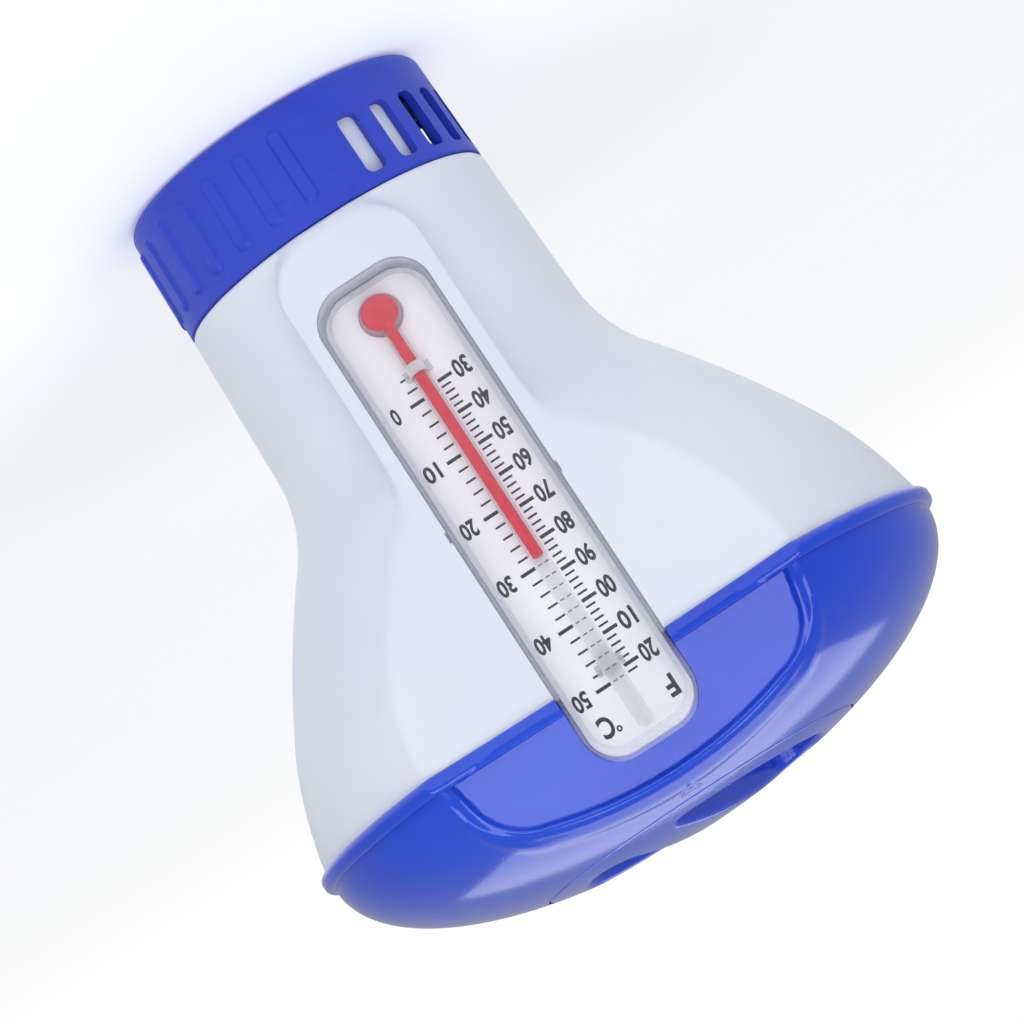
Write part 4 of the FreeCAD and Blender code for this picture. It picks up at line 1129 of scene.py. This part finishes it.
camSize = {"target": (-0.457, 0.0, 115.1), "distance": 1253.7, "elevation": 7.76, "azimuth": 0.0,
           "lens": 170.8, "rollSin": 0.548, "rollCos": 0.8365}


def makeCamera():
    s = camSize
    elevation, azimuth = math.radians(s["elevation"]), math.radians(s["azimuth"])
    back = Vector((math.sin(azimuth) * math.cos(elevation), -math.cos(azimuth) * math.cos(elevation),
                   math.sin(elevation)))
    across = Vector((math.cos(azimuth), math.sin(azimuth), 0.0))
    up = back.cross(across)
    right = across * -s["rollCos"] + up * s["rollSin"]
    top = across * -s["rollSin"] - up * s["rollCos"]
    lens = bpy.data.cameras.new("view")
    lens.lens, lens.sensor_width = s["lens"], 36.0
    lens.clip_end = 50.0
    camera = bpy.data.objects.new("view", lens)
    place = (Vector(s["target"]) + back * s["distance"]) * toMetres
    camera.matrix_world = Matrix.Translation(place) @ Matrix((right, top, back)).transposed().to_4x4()
    bpy.context.scene.collection.objects.link(camera)
    bpy.context.scene.camera = camera


def softBox(name, azimuth, elevation, distance, width, height, power):
    # a rectangular lamp that faces the object
    a, e = math.radians(azimuth), math.radians(elevation)
    away = Vector((math.sin(a) * math.cos(e), -math.cos(a) * math.cos(e), math.sin(e)))
    lamp = bpy.data.lights.new(name, "AREA")
    lamp.shape, lamp.size, lamp.size_y, lamp.energy = "RECTANGLE", width, height, power
    box = bpy.data.objects.new(name, lamp)
    box.location = away * distance + Vector((0, 0, 0.11))
    box.rotation_euler = away.to_track_quat("Z", "Y").to_euler()
    bpy.context.scene.collection.objects.link(box)


def makeWorld(strength, colour):
    # white to the camera, dimmer to reflections
    world = bpy.data.worlds.new("studio")
    bpy.context.scene.world = world
    made = Finish(world)
    seen = made.node("ShaderNodeBackground", {}, [(1, 1, 1, 1), 1.0])
    lit = made.node("ShaderNodeBackground", {}, [colour, strength])
    cameraRay = made.node("ShaderNodeLightPath", {})
    mix = made.node("ShaderNodeMixShader", {}, [cameraRay, lit, seen])
    made.node("ShaderNodeOutputWorld", {}, {"Surface": mix})


floorSize = {"radius": 1700, "rings": 24, "spokes": 96, "fadeFrom": 0.5, "fadeTo": 1.6,
             "drop": 0.0004}


def makeFloor():
    # a pale round floor that fades out before its edge
    s = floorSize
    made = Finish(bpy.data.materials.new("paleFloor"))
    spot = made.place()
    far = made.node("ShaderNodeVectorMath", {"operation": "LENGTH"}, [spot], out=1)
    cloud = made.noise(spot, 4.0)
    colour = made.blendColour(cloud, rgb(246, 247, 249), rgb(250, 250, 251))
    solid = made.node("ShaderNodeBsdfPrincipled", {}, {
        "Base Color": colour, "Roughness": 0.8, "Emission Color": (1, 1, 1, 1), "Emission Strength": 0.25})
    gone = made.node("ShaderNodeBsdfTransparent", {})
    finish = made.finish(made.node("ShaderNodeMixShader", {},
                                   [far.clip(s["fadeFrom"], s["fadeTo"]), solid, gone]))
    rings, count, size = s["rings"], s["spokes"], s["radius"]
    points = [(0, 0, 0)] + [(size * r / rings * math.cos(2 * math.pi * n / count),
                             size * r / rings * math.sin(2 * math.pi * n / count), 0)
                            for r in range(1, rings + 1) for n in range(count)]
    faces = [[0, 1 + n, 1 + (n + 1) % count] for n in range(count)]
    for r in range(rings - 1):
        a, b = 1 + r * count, 1 + (r + 1) * count
        faces += [[a + n, b + n, b + (n + 1) % count, a + (n + 1) % count] for n in range(count)]
    floor = newPiece("floor", points, faces)
    floor.location.z = -s["drop"]
    floor.data.materials.append(finish)


makeCamera()
# azimuth, elevation, distance and width and height in metres, power in watts
lampSize = {"softBoxLeft": (-23.5, 36, 1.6, 1.1, 1.0, 7.5), "softBoxRight": (23.5, 36, 1.6, 1.1, 1.0, 7.5),
            "softBoxBack": (180, 50, 1.8, 1.4, 1.2, 6.0)}
worldLook = {"strength": 0.42, "colour": (0.93, 0.96, 1.0, 1.0)}
for lamp, numbers in lampSize.items():
    softBox(lamp, *numbers)
makeWorld(worldLook["strength"], worldLook["colour"])
makeFloor()
bpy.context.scene.view_settings.view_transform = "Standard"
print("stage made")
